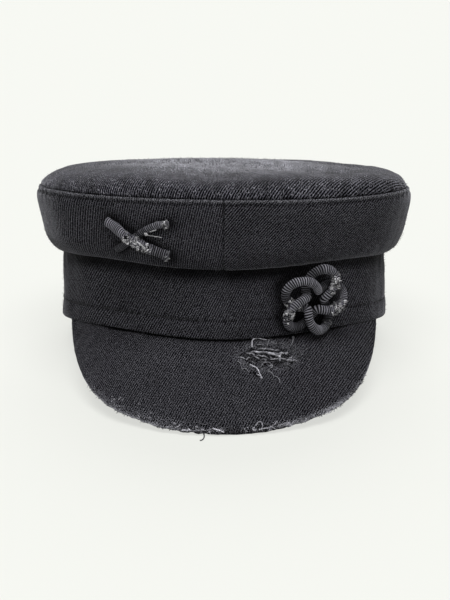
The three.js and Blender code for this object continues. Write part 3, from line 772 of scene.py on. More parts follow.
def buildSidePanel(node, side, ribAngle, seed):
    reach = cap["bandHalfWidth"] + cap["seamSpread"]
    lap = sidePanel["seamLap"] / reach
    plain = sidePanel["plainFrom"] / reach
    close = roundEdge / reach - lap
    count = int(math.pi * reach / sidePanel["step"])
    angles = np.concatenate([close, np.linspace(plain, math.pi - plain, count), math.pi - close[::-1]])
    if side < 0:
        angles = angles - math.pi
    grid = capPoint(angles[:, None], sideLine[None, :, 0], sideLine[None, :, 1])
    normals = gridNormals(grid, False)
    fromSeam = (sideRun[-1] - sideRun)[None, :]
    fromFold = sideRun[None, :]
    around = angles[:, None] * reach
    stitch = 0.5 + 0.5 * np.cos(2 * math.pi * around / sidePanel["stitchPitch"])
    free = smoothStep(fromFold, 0, sidePanel["freeFromFold"])
    free = free * smoothStep(fromSeam, 0, sidePanel["freeFromSeam"])
    push = sidePanel["lump"] * lumps(grid, sidePanel["lumpLength"], seed) * free
    push += sidePanel["ripple"] * lumps(grid, sidePanel["rippleLength"], seed + 1)
    push += sidePanel["pucker"] * seamPucker(angles)[:, None] * np.exp(-fromSeam / sidePanel["puckerFade"])
    push += sidePanel["seamBead"] * bell(fromSeam, *sidePanel["beadAt"])
    push -= sidePanel["seamGroove"] * bell(fromSeam, *sidePanel["grooveAt"]) * (0.35 + 0.65 * stitch)
    bulge = bell(fromFold, *sidePanel["rightFoldAt"]) * bell(grid[..., 0], *sidePanel["rightFoldSide"])
    push += sidePanel["rightFold"] * bulge
    endRun = np.minimum(angles - angles[0], angles[-1] - angles)[:, None] * reach
    push -= sidePanel["joinDip"] * bell(endRun, 0, sidePanel["joinWidth"])
    grid = grid + normals * push[..., None]
    weave = np.stack([drawnRun(angles, reach)[:, None] + 0 * fromFold, fromFold + 0 * around], -1)
    # the bead of the seam is chafed pale over each stitch; the line beside it sinks and has painted shade,
    # and so do the joins and the cloth round the cords
    chafe = 0.6 + 0.4 * np.sin(2.1 * math.pi * around / sidePanel["stitchPitch"]) ** 2
    wearAndPaintedLight = sidePanel["foldWear"] * bell(fromFold, *sidePanel["foldWearAt"])
    wearAndPaintedLight = wearAndPaintedLight + sidePanel["seamWear"] * bell(fromSeam, *sidePanel["seamWearAt"]) * chafe
    paintedShade = sidePanel["paintedSeamShade"] * bell(fromSeam, *sidePanel["paintedSeamShadeAt"]) * (0.25 + 0.75 * stitch)
    paintedShade = paintedShade + sidePanel["paintedJoinShade"] * bell(endRun, 0, sidePanel["paintedJoinShadeWidth"])
    if side < 0:
        beside = np.maximum(besideCord(grid, overFoot, crossOver), besideCord(grid, underFoot, crossUnder))
        paintedShade = np.maximum(paintedShade, sidePanel["paintedCordShade"] * beside)
    cloth = denimTwill("washed black denim twill " + node,
                       dict(denimLook, ribAngle=ribAngle, ribPitch=sidePanel["ribPitch"]))
    piece = clothSolid(node + "_cloth", grid, sidePanel["wall"], [cloth, reverseDenim], weave,
                       {"wearAndPaintedLight": wearAndPaintedLight, "paintedShade": paintedShade})
    finishPiece(piece, node)


buildSidePanel("side_panel_left", -1, sidePanel["leftRibAngle"], 21)
buildSidePanel("side_panel_right", 1, sidePanel["rightRibAngle"], 31)
print("side panels sewn")

# crown top: a shallow dome that rolls over a soft shoulder down to the seam
crown = {
    "wall": 1.8,
    "step": 2.4,
    "shoulderRun": 24,
    "lump": 0.6,
    "lumpLength": 75,
    "ripple": 0.06,
    "rippleLength": 14,
    "rimDip": 0.35,
    "rimDipWidth": 1.3,
    # painted shade in the seam line along the rim
    "paintedRimShade": 0.7,
    "paintedRimShadeWidth": 0.8,
    "puckerFade": 5.0,
    # the shoulder swells out most on the right: mm, where in mm from the rim, and how far to a side
    "rightShoulder": 1.1,
    "leftShoulder": 0.1,
    "shoulderAt": ((1, 7), (14, 34)),
    "shoulderSide": (90, 30),
    # painted light on the top: mm from the rim where it starts and where it is full, and how much
    "paintedLightFrom": 9,
    "paintedLightTo": 66,
    "wornAndPaintedLight": 0.52,
    # brushed and washed, with the streaks of its nap running back; its paler dashes are part of the painted
    # light on the top
    "look": {"ribAngle": 68, "ribPitch": 1.36, "rib": "#08080a", "dash": "#57565f", "specks": 0.2,
             "grain": 0.62, "grainLength": 3.2, "washSize": 6, "wash": 0.4, "sheen": 0.42},
}


def buildCrown():
    reach = cap["bandHalfWidth"] + cap["seamSpread"]
    rows = [(share * reach, rise) for share, rise in crownRows]
    rows[-1] = (0.4, rows[-1][1])
    bend = crown["shoulderRun"]
    line, run = smoothCurve(rows, lambda length: np.concatenate([
        roundEdge, np.linspace(plainFrom, bend, 24), np.linspace(bend + 1.4, length, 46)]))
    count = int(2 * math.pi * reach / crown["step"])
    angles = np.linspace(0, 2 * math.pi, count, endpoint=False)
    grid = topPoint(angles[:, None], line[None, :, 0] / reach, line[None, :, 1])
    normals = gridNormals(grid, True)
    # the outer face is the one that looks up
    flip = np.sign(normals[0, 30, 2])
    fromRim = run[None, :]
    push = crown["lump"] * lumps(grid, crown["lumpLength"], 41) * smoothStep(fromRim, 2, 16)
    push += crown["ripple"] * lumps(grid, crown["rippleLength"], 42)
    push += sidePanel["pucker"] * seamPucker(angles)[:, None] * np.exp(-fromRim / crown["puckerFade"])
    push -= crown["rimDip"] * bell(fromRim, 0, crown["rimDipWidth"])
    swell = crown["rightShoulder"] * bell(grid[..., 0], *crown["shoulderSide"])
    swell += crown["leftShoulder"] * bell(-grid[..., 0], *crown["shoulderSide"])
    push += plateau(fromRim, *crown["shoulderAt"]) * swell
    grid = grid + normals * flip * push[..., None]
    inward = run[-1] - fromRim
    weave = np.stack([inward * np.sin(angles)[:, None], -inward * np.cos(angles)[:, None]], -1)
    # painted light: the top is coloured paler from the rim in to its middle, where the light from behind
    # falls most
    wearAndPaintedLight = 0.01 + crown["wornAndPaintedLight"] * smoothStep(fromRim, crown["paintedLightFrom"], crown["paintedLightTo"])
    # painted shade along the rim, in the seam line
    paintedShade = crown["paintedRimShade"] * bell(fromRim, 0, crown["paintedRimShadeWidth"])
    full = np.zeros(grid.shape[:2])
    cloth = denimTwill("washed black denim twill crown", dict(denimLook, **crown["look"]))
    piece = clothSolid("crown_top_cloth", grid, crown["wall"], [cloth, reverseDenim], weave,
                       {"wearAndPaintedLight": full + wearAndPaintedLight, "paintedShade": full + paintedShade}, wrap=True, centre=True, flip=flip)
    finishPiece(piece, "crown_top")


buildCrown()
print("crown set in")

# band: a straight strip round the head with a sewn hem and one row of topstitching
band = {
    "wall": 2.2,
    "step": 1.55,
    "plainFrom": 2.2,
    "reach": 94.0,
    "stitchHeight": 10.0,
    "stitchPitch": 4.7,
    "stitchDip": 0.32,
    "stitchWidth": 0.75,
    "threadRadius": 0.2,
    "threadTone": 0.04,
    "threadRise": 0.12,
    "joinDip": 0.35,
    "joinWidth": 1.4,
    "paintedJoinShade": 0.8,
    "paintedJoinShadeWidth": 0.6,
    # the heights that its swelling comes and goes over
    "free": ((0, 8), (30, 40)),
    "lump": 0.3,
    "lumpLength": 50,
    "ripple": 0.1,
    "rippleLength": 12,
    # painted shade under the fold and the rosette, and rubbed along the rim
    "paintedFoldShade": 0.95,
    "paintedFoldShadeFrom": (27.5, 34.0),
    "paintedCordShade": 0.9,
    "rimWear": 0.1,
    "rimWearAt": (0.6, 0.9),
    "look": {"ribAngle": 61, "ribPitch": 1.23, "sheen": 0.3},
}
# spread outside the band's own line and height over the rim, from the rim up
bandRows = [(0.5, 0), (0.9, 1.2), (0.95, 6), (0.5, 9.6), (0.4, 14), (0.35, 27), (0.1, 33), (0, 40)]


def bandSurface(angle, height):
    line = np.array(bandRows)
    return capPoint(angle, np.interp(height, line[:, 1], line[:, 0]), height)


def buildBand():
    reach = band["reach"]
    line = smoothCurve(bandRows, crowdedSteps(acrossStep))[0]
    count = int(2 * math.pi * reach / band["step"])
    # both ends meet at the centre back, where they turn in to the seam
    close = np.maximum(roundEdge, 0.005) / reach
    plain = band["plainFrom"] / reach
    angles = np.concatenate([-math.pi + close, np.linspace(plain - math.pi, math.pi - plain, count),
                             math.pi - close[::-1]])
    endRun = (math.pi - np.abs(angles))[:, None] * reach
    grid = capPoint(angles[:, None], line[None, :, 0], line[None, :, 1])
    normals = gridNormals(grid, False)
    around = runLength(grid, 0)[:, :1]
    around = around - around[len(around) // 2]
    height = line[None, :, 1]
    stitch = 0.5 + 0.5 * np.cos(2 * math.pi * around / band["stitchPitch"])
    row = bell(height, band["stitchHeight"], band["stitchWidth"])
    dip = band["stitchDip"] * row * (0.35 + 0.65 * stitch ** 2)
    push = band["lump"] * lumps(grid, band["lumpLength"], 51) * plateau(height, *band["free"])
    push += band["ripple"] * lumps(grid, band["rippleLength"], 52) * smoothStep(height, 0, 4)
    push -= dip + band["joinDip"] * bell(endRun, 0, band["joinWidth"])
    grid = grid + normals * push[..., None]
    weave = np.stack([drawnRun(angles, reach)[:, None] + 0 * height, height + 0 * around], -1)
    # painted shade: dark stitch holes, the cloth under the fold, the join at the back, and round and inside
    # the rosette
    paintedShade = bell(height, band["stitchHeight"], 0.85) * (0.25 + 1.0 * stitch ** 3)
    paintedShade = np.maximum(paintedShade, band["paintedFoldShade"] * smoothStep(height, *band["paintedFoldShadeFrom"]))
    paintedShade = np.maximum(paintedShade, band["paintedJoinShade"] * bell(endRun, 0, band["paintedJoinShadeWidth"]))
    fromMiddle = np.linalg.norm(grid - capPoint(rosette["angle"], 0, rosette["middle"]), axis=-1)
    inside = 1 - smoothStep(fromMiddle, rosette["outer"] - 3, rosette["outer"] + 1)
    covered = np.maximum(besideCord(grid, rosetteFoot, rosette), inside)
    paintedShade = np.maximum(paintedShade, band["paintedCordShade"] * covered)
    wearAndPaintedLight = band["rimWear"] * bell(height, *band["rimWearAt"]) + 0 * around
    cloth = denimTwill("washed black denim twill band", dict(denimLook, **band["look"]))
    piece = clothSolid("band_cloth", grid, band["wall"], [cloth, reverseDenim], weave,
                       {"wearAndPaintedLight": wearAndPaintedLight, "paintedShade": paintedShade})
    finishPiece(piece, "band")
    # the topstitch: black thread, sunk at each hole
    pitch = band["stitchPitch"]
    number = int((around[-1, 0] - around[0, 0]) / pitch)
    middles = (np.arange(number) + 0.5) * pitch + around[0, 0]
    middles = np.floor(middles / pitch) * pitch + pitch / 2
    span = np.linspace(-0.42, 0.42, 7) * pitch
    turn = np.interp(middles[:, None] + span[None, :], around[:, 0], angles)
    lift = band["threadRise"] * (1 - (span / span[-1]) ** 2) - band["stitchDip"]
    rise = np.full(turn.shape, band["stitchHeight"])
    paths = bandSurface(turn, rise) + capNormal(turn, 0, rise) * lift[None, :, None]
    radii = np.full(paths.shape[:2], band["threadRadius"])
    tones = np.full(len(paths), band["threadTone"])
    threadPiece("band_topstitch", [(paths, radii, tones, 6)], cottonThread)


buildBand()
print("band and topstitch done")

# peak: a cover and an under piece with raw, frayed edges and a torn place in the cover
peakLook = {
    "tuckIn": 0.06,
    # points across and out, crowded toward the sides and the front edge
    "across": 251,
    "out": 85,
    "crowdAcross": 1.08,
    "crowdOut": 1.35,
    "lump": 0.35,
    "lumpLength": 45,
    "ripple": 0.1,
    "rippleLength": 11,
    "edgeWaver": 0.55,
    "cornerLift": 1.6,
    # the dye is rubbed off along the edge, most on the right: where out, then where it comes and goes
    "rightWear": 0.95,
    "rightWearAt": (0.985, 0.03),
    "rightWearSpan": ((0.12, 0.3), (0.72, 0.9)),
    "rightWearMost": (0.47, 0.12),
    "leftWear": 0.225,
    "leftWearAt": (0.965, 0.05),
    "leftWearSpan": ((0.05, 0.2), (0.6, 0.75)),
    "edgeWear": 0.6,
    "edgeWearAt": (1, 0.012),
    # painted shade where it goes up under the band
    "paintedBandShade": 0.95,
    "paintedBandShadeReach": 0.045,
    # the under piece, which shows as a dark lip at the middle of the edge: mm out past the cut
    "underGap": 0.3,
    "lipBack": -0.6,
    "lip": 1.5,
    "lipAt": (0.06, 0.16),
    "lipWear": 0.25,
    # painted shade over the whole under piece, which lies under the cover
    "paintedUnderShade": 0.35,
    "look": {"ribAngle": 65, "ribPitch": 1.24, "dash": "#49484f", "sheen": 0.22},
}
torn = {
    "across": 0.215, "out": 0.22, "halfAcross": 0.125, "halfOut": 0.125, "depth": 0.9, "slitDepth": 0.5,
    "lean": 0.12,  # the tear runs down a little to the right
    # the cloth round it is crumpled and rubbed
    "nearAcross": 0.19, "nearOut": 0.22, "crumple": 0.22, "crumpleLength": 3.4, "nearWear": 0.3,
    # painted shade in the torn place, and more of it in the slits
    "dark": 0.4, "paintedSlitShade": 1.1,
    # slits where the cloth is gone: from and to as (across, out), and half width in mm
    "slits": [
        ((0.163, 0.090), (0.211, 0.118), 0.3), ((0.155, 0.195), (0.197, 0.212), 0.45),
        ((0.197, 0.216), (0.240, 0.246), 0.75), ((0.112, 0.200), (0.127, 0.252), 0.6),
        ((0.125, 0.259), (0.159, 0.263), 0.4), ((0.214, 0.292), (0.312, 0.338), 0.5),
        ((0.119, 0.128), (0.139, 0.110), 0.45), ((0.183, 0.155), (0.264, 0.192), 0.22),
        ((0.124, 0.397), (0.141, 0.455), 0.35), ((0.266, 0.260), (0.291, 0.272), 0.35),
    ],
}


def slitShare(across, out):
    # 1 in the slits, fading over half a millimetre at their edges
    size = [peakHalfRun, peakDepth]
    places = np.stack([across, out], -1) * size
    share = np.zeros(across.shape)
    for start, end, half in torn["slits"]:
        a, b = np.array(start) * size, np.array(end) * size
        along = np.clip(((places - a) @ (b - a)) / ((b - a) @ (b - a)), 0, 1)
        away = np.linalg.norm(places - a - along[..., None] * (b - a), axis=-1)
        share = np.maximum(share, 1 - smoothStep(away, half, half + 0.5))
    return share


def meeting(first, second, reachFirst, reachSecond, turn):
    # the point at those distances from two points, on the side that turn gives
    apart = second - first
    gap = np.linalg.norm(apart)
    along = (reachFirst ** 2 - reachSecond ** 2 + gap ** 2) / (2 * gap)
    off = math.sqrt(max(reachFirst ** 2 - along ** 2, 0))
    ahead = apart / gap
    return first + ahead * along + np.array([-ahead[1], ahead[0]]) * off * turn


def flatPeak(across):
    # the cover laid out flat, as it was cut: its root and front edge in the plane, middle outwards
    roots, fronts = peakPoint(across, 0.0, 0.0), peakPoint(across, 1.0, 0.0)
    middle = len(across) // 2
    flatRoot, flatFront = np.zeros((len(across), 2)), np.zeros((len(across), 2))
    flatFront[middle] = [0, -np.linalg.norm(fronts[middle] - roots[middle])]
    for turn, order in ((1, range(middle + 1, len(across))), (-1, range(middle - 1, -1, -1))):
        last = middle
        for k in order:
            flatRoot[k] = meeting(flatRoot[last], flatFront[last], np.linalg.norm(roots[k] - roots[last]),
                                  np.linalg.norm(roots[k] - fronts[last]), turn)
            flatFront[k] = meeting(flatRoot[k], flatFront[last], np.linalg.norm(fronts[k] - roots[k]),
                                   np.linalg.norm(fronts[k] - fronts[last]), turn)
            last = k
    return flatRoot, flatFront


def peakWeave(across, out):
    # the twill's place on the flat cloth, for a whole grid
    root, front = flatPeak(across)
    return root[:, None] + (front - root)[:, None] * out[None, :, None]


def tornShare(across, out):
    # 1 inside the torn place, with a ragged edge
    a = (across - torn["across"]) / torn["halfAcross"]
    o = (out - torn["out"] - torn["lean"] * (across - torn["across"])) / torn["halfOut"]
    places = np.stack([across * 100, out * 60, np.zeros(np.shape(across))], -1)
    ragged = 0.16 * lumps(places, 4.5, 61) + 0.1 * lumps(places, 1.9, 62)
    return smoothStep(-np.sqrt(a * a + o * o) + ragged, -1.08, -0.9)


def coverThickness(across, out):
    # the raw edge is pressed thin, but for the middle where it stands open
    thin = 0.5 * smoothStep(out, 0.93, 1.0) * smoothStep(np.abs(across - 0.05), 0.12, 0.3)
    return peak["coverWall"] * (1 - thin)


def openEdge(across):
    # how far the worn cover stands out past its cut edge, in shares of the peak's depth
    return (0.9 * (1 - smoothStep(np.abs(across), 0.68, 0.85)) + 1.2 * bell(across, -0.2, 0.15)) / peakDepth


def cornerLift(across, out):
    # the corners are drawn up to the band's edge, where they are sewn in
    side = np.abs(across)
    free = np.maximum(1 - smoothStep(out, 0, 0.6), smoothStep(side, 0.93, 1.0))
    return np.array([0, 0, peakLook["cornerLift"]]) * (smoothStep(side, 0.6, 0.9) * free)[..., None]


def buildPeak():
    tight = np.linspace(-1, 1, peakLook["across"])
    across = np.sign(tight) * (1 - (1 - np.abs(tight)) ** peakLook["crowdAcross"])
    out = 1 - np.linspace(1, 0, peakLook["out"]) ** peakLook["crowdOut"] * (1 + peakLook["tuckIn"])
    a, o = np.meshgrid(across, out, indexing="ij")
    base = peakPoint(a, o, 0.0)
    weave = peakWeave(across, out)
    rugged = peakLook["edgeWaver"] * (0.6 * lumps(base, 5.0, 71) + 0.4 * lumps(base, 2.2, 72))
    edgeZone = smoothStep(o, 0.9, 1)
    middle = bell(a, 0, 0.55)
    coverOut = o + edgeZone * (rugged * middle / peakDepth + openEdge(a))
    grid = peakPoint(a, coverOut, 0.0) + cornerLift(a, o)
    normals = gridNormals(grid, False)
    # the outer face is the one that looks up
    flip = np.sign(normals[125, 40, 2])
    push = peakLook["lump"] * lumps(grid, peakLook["lumpLength"], 73) * smoothStep(o, 0, 0.2)
    push = push * np.cos(a * 1.5)
    push += peakLook["ripple"] * lumps(grid, peakLook["rippleLength"], 74) * smoothStep(np.abs(a), 1, 0.9)
    tear = tornShare(a, o)
    slit = slitShare(a, o)
    push -= torn["depth"] * tear * (0.5 + 0.3 * np.clip(lumps(grid, 3.0, 75), -1, 1))
    push -= torn["slitDepth"] * slit
    reach = np.hypot((a - torn["across"]) / torn["nearAcross"], (o - torn["out"]) / torn["nearOut"])
    near = smoothStep(-reach, -1.1, -0.7) * (1 - tear)
    push += torn["crumple"] * near * lumps(grid, torn["crumpleLength"], 76)
    grid = grid + normals * flip * push[..., None]
    rightEdge = bell(o, *peakLook["rightWearAt"]) * plateau(a, *peakLook["rightWearSpan"])
    leftEdge = bell(o, *peakLook["leftWearAt"]) * plateau(-a, *peakLook["leftWearSpan"])
    wearAndPaintedLight = peakLook["rightWear"] * rightEdge * (0.55 + 0.45 * bell(a, *peakLook["rightWearMost"]))
    wearAndPaintedLight += peakLook["leftWear"] * leftEdge
    wornEdge = bell(o, *peakLook["edgeWearAt"]) * smoothStep(np.abs(a - 0.05), 0.1, 0.25)
    wearAndPaintedLight += peakLook["edgeWear"] * wornEdge
    wearAndPaintedLight = np.clip(wearAndPaintedLight + torn["nearWear"] * near, 0, 1)
    # painted shade: under the band, in the torn place and darkest in its slits
    underBand = peakLook["paintedBandShade"] * (1 - smoothStep(o, 0.0, peakLook["paintedBandShadeReach"]))
    paintedShade = np.clip(torn["dark"] * tear + torn["paintedSlitShade"] * slit + underBand, 0, 1.1)
    cloth = denimTwill("washed black denim twill peak", dict(denimLook, **peakLook["look"]))
    piece = clothSolid("peak_cover_cloth", grid, coverThickness(a, o), [cloth, reverseDenim], weave,
                       {"wearAndPaintedLight": wearAndPaintedLight, "paintedShade": paintedShade}, flip=flip)
    finishPiece(piece, "peak_cover")

    # the under piece is made on every second point
    a, o, base, middle, edgeZone, weave = [full[::2, ::2] for full in (a, o, base, middle, edgeZone, weave)]
    waver = peakLook["edgeWaver"] * 0.5 * lumps(base, 7.0, 77)
    lip = peakLook["lipBack"] + peakLook["lip"] * bell(a, *peakLook["lipAt"])
    underOut = o * (1 + lip / peakDepth) + edgeZone * waver * middle / peakDepth
    under = peakPoint(a, underOut, coverThickness(a, o) + peakLook["underGap"]) + cornerLift(a, o)
    wearAndPaintedLight = peakLook["lipWear"] * bell(o, 1, 0.02)
    # painted shade: the under piece is the cover's own cloth, coloured darker all over
    paintedShade = np.full(o.shape, peakLook["paintedUnderShade"])
    piece = clothSolid("peak_under_cloth", under, peak["underWall"], [cloth, cloth], weave,
                       {"wearAndPaintedLight": wearAndPaintedLight, "paintedShade": paintedShade}, flip=flip)
    finishPiece(piece, "peak_under")


buildPeak()
print("peak made up")

# the windings: points round the cord and along each one, and how far one wanders over the next.
# broken ones: fibres in a clump, their lengths and thicknesses in mm, and the same for the knots
winding = {
    "sides": 22, "ringsEach": 8, "wander": 0.1, "wanderLength": 7, "uneven": 0.04, "unevenLength": 9,
    "raggedness": 0.16, "tones": (0.55, 1.0), "thickenAtEnd": 0.3,
    "clumpFibres": 8, "fibreLength": (0.8, 2.2), "fibreRadii": (0.09, 0.14, 0.2),
    "knotLength": (1.0, 2.4), "knotRadius": 0.27, "strandShake": 0.07,
}


def buildCord(cord, middle, outward, shade):
    # a wound cord: the windings are real round ribs that climb round it
    rng = np.random.default_rng(cord["seed"])
    closed = cord["closed"]
    if closed:
        middle = np.concatenate([middle, middle[:1]])
        outward = np.concatenate([outward, outward[:1]])
        shade = np.concatenate([shade, shade[:1]])
    run = np.concatenate([[0], np.cumsum(np.linalg.norm(np.diff(middle, axis=0), axis=1))])
    length = run[-1]
    ribs = round(length / cord["ribPitch"])
    rings = ribs * winding["ringsEach"]
    places = np.linspace(0, length, rings + 1)[:rings] if closed else np.linspace(0, length, rings)
    centre = np.stack([np.interp(places, run, middle[:, k]) for k in range(3)], 1)
    out = unit(np.stack([np.interp(places, run, outward[:, k]) for k in range(3)], 1))
    forward = np.gradient(centre, axis=0)
    if closed:
        forward[0] = centre[1] - centre[-1]
        forward[-1] = centre[0] - centre[-2]
    forward = unit(forward)
    side = unit(np.cross(forward, out))
    out = np.cross(side, forward)
    sides = winding["sides"]
    turn = np.linspace(0, 2 * math.pi, sides, endpoint=False)
    phase = places[:, None] / length * ribs + cord["starts"] * turn[None, :] / (2 * math.pi)
    wander = winding["wander"] * lumps(centre, winding["wanderLength"], cord["seed"] + 6)[:, None]
    rib = 0.5 + 0.5 * np.cos(2 * math.pi * (phase + wander))
    chafe = np.zeros(rings)
    for place, width, strength in cord["chafed"]:
        away = np.abs(places / length - place)
        if closed:
            away = np.minimum(away, 1 - away)
        chafe = np.maximum(chafe, strength * bell(away * length, 0, width))
    spots = np.repeat(centre[:, None], sides, 1) + turn[None, :, None] * 2
    ragged = lumps(centre, 2.4, cord["seed"] + 3)[:, None] + lumps(spots, 1.6, cord["seed"] + 4) * 0.6
    thickness = 1 + winding["uneven"] * lumps(centre, winding["unevenLength"], cord["seed"] + 1)[:, None]
    depth = cord["ribDepth"] * (rib - 0.6) * (1 - 0.7 * chafe[:, None])
    depth = depth + winding["raggedness"] * chafe[:, None] * ragged
    ends = np.ones(rings)
    if not closed:
        fromEnd = np.minimum(places, length - places)
        ends = np.sqrt(1 - (1 - np.clip(fromEnd / winding["thickenAtEnd"], 0, 1)) ** 2) * 0.6 + 0.4
    inset = cord["ribDepth"] * 0.25
    wide = (cord["width"] / 2 - inset) * thickness * ends[:, None] + depth * ends[:, None]
    high = (cord["height"] / 2 - inset) * thickness * ends[:, None] + depth * ends[:, None]
    skin = (centre[:, None] + side[:, None] * (wide * np.cos(turn))[..., None]
            + out[:, None] * (high * np.sin(turn))[..., None])
    number = np.arange(rings * sides).reshape(rings, sides)
    if closed:
        number = np.concatenate([number, number[:1]])
    following = np.roll(number, -1, 1)
    quads = np.stack([number[1:], following[1:], following[:-1], number[:-1]], -1).reshape(-1, 4)
    vertices = skin.reshape(-1, 3)
    # each winding a little lighter or darker at random, pale on its crest and dark between windings as
    # painted highlight and shade, and with painted shade where the cord lies deep
    one = rng.uniform(*winding["tones"], int(phase.max()) + 2)[np.round(phase).astype(int)]
    deep = np.interp(places, run, shade)
    ribValue = (rib ** 2.4 * one * (1 - 0.75 * chafe[:, None] * (ragged < 0.2)) * deep[:, None]).ravel()
    chafeValue = np.repeat(chafe, sides)
    faces = [quads]
    if not closed:
        vertices = np.concatenate([vertices, centre[:1], centre[-1:]])
        tip = np.full(sides, rings * sides)
        faces.append(np.stack([number[0], following[0], tip], -1))
        faces.append(np.stack([following[-1], number[-1], tip + 1], -1))
        ribValue = np.concatenate([ribValue, [0.5, 0.5]])
        chafeValue = np.concatenate([chafeValue, [0, 0]])
    piece = buildMesh(cord["name"] + "_wound", toWorld(vertices), faces, [cottonGimp],
                      values={"rib": ribValue, "fray": chafeValue})
    finishPiece(piece, cord["name"])
    fluffCord(cord, rng, centre, side, out, wide[:, 0], high[:, 0], chafe)


def fluffCord(cord, rng, centre, side, out, wide, high, chafe):
    # broken windings: clumps of pale curly fibres where the cord is chafed, and single strands
    def onCord(ring, spin):
        # the way out of the cord, and the place on its skin, at a turn of its rings
        sideways = np.cos(spin)[:, None]
        upward = np.sin(spin)[:, None]
        skin = side[ring] * wide[ring, None] * sideways + out[ring] * high[ring, None] * upward
        return side[ring] * sideways + out[ring] * upward, centre[ring] + skin

    rings = len(centre)
    weight = np.clip(chafe, 0, 1) ** 1.5 + 0.006
    clumps = cord["clumps"]
    chosen = rng.choice(rings, clumps, p=weight / weight.sum())
    spin = rng.uniform(0, math.pi, clumps)
    light = rng.beta(0.9, 1.6, clumps) * (0.3 + 0.7 * chafe[chosen])
    each = winding["clumpFibres"]
    amount = clumps * each
    spread = rng.normal(size=(amount, 2))
    chosen = np.clip(np.repeat(chosen, each) + np.round(spread[:, 0] * 2.2).astype(int), 0, rings - 1)
    away, roots = onCord(chosen, np.repeat(spin, each) + spread[:, 1] * 0.14)
    lengths = rng.uniform(*winding["fibreLength"], amount) * (0.6 + 0.5 * chafe[chosen])
    paths = fibrePaths(rng, roots, away, lengths, points=7, lift=0.6, curl=0.95, hug=0.4)
    radii = mixedTaper(amount, 7, winding["fibreRadii"], [0.4, 0.35, 0.25], rng)
    tone = np.clip(np.repeat(light, each) * rng.uniform(0.6, 1.3, amount), 0, 1)
    batches = [(paths, radii, tone, 4)]
    # knots of fibre stand up pale from the worst of it, and dark gaps are left between them
    knots = cord["knots"]
    chosen = rng.choice(rings, knots, p=weight ** 1.5 / (weight ** 1.5).sum())
    away, roots = onCord(chosen, rng.uniform(0.12, 0.88, knots) * math.pi)
    lengths = rng.uniform(*winding["knotLength"], knots)
    paths = fibrePaths(rng, roots, away, lengths, points=8, lift=0.3, curl=0.7, hug=0.25)
    radii = taper(knots, 8, winding["knotRadius"], rng)
    tone = np.where(rng.uniform(size=knots) < 0.3, 0.0, rng.uniform(0.35, 1.0, knots))
    batches.append((paths, radii, tone, 5))
    for route, radius, strandTone in cord.get("strands", []):
        path = overPanel(route, 24)[0]
        path = path + rng.normal(size=path.shape) * winding["strandShake"]
        uneven = np.clip(strandTone * rng.uniform(0.5, 1.15, 24), 0, 1)
        batches.append((path[None], radius * rng.uniform(0.75, 1.25, (1, 24)), uneven[None], 6))
    threadPiece(cord["name"] + "_fibres", batches, gimpLint)


buildCord(crossOver, overMiddle, overOutward, overShade)
buildCord(crossUnder, underMiddle, underOutward, underShade)
buildCord(rosette, rosetteMiddle, rosetteOutward, rosetteShade)
print("cords sewn on")

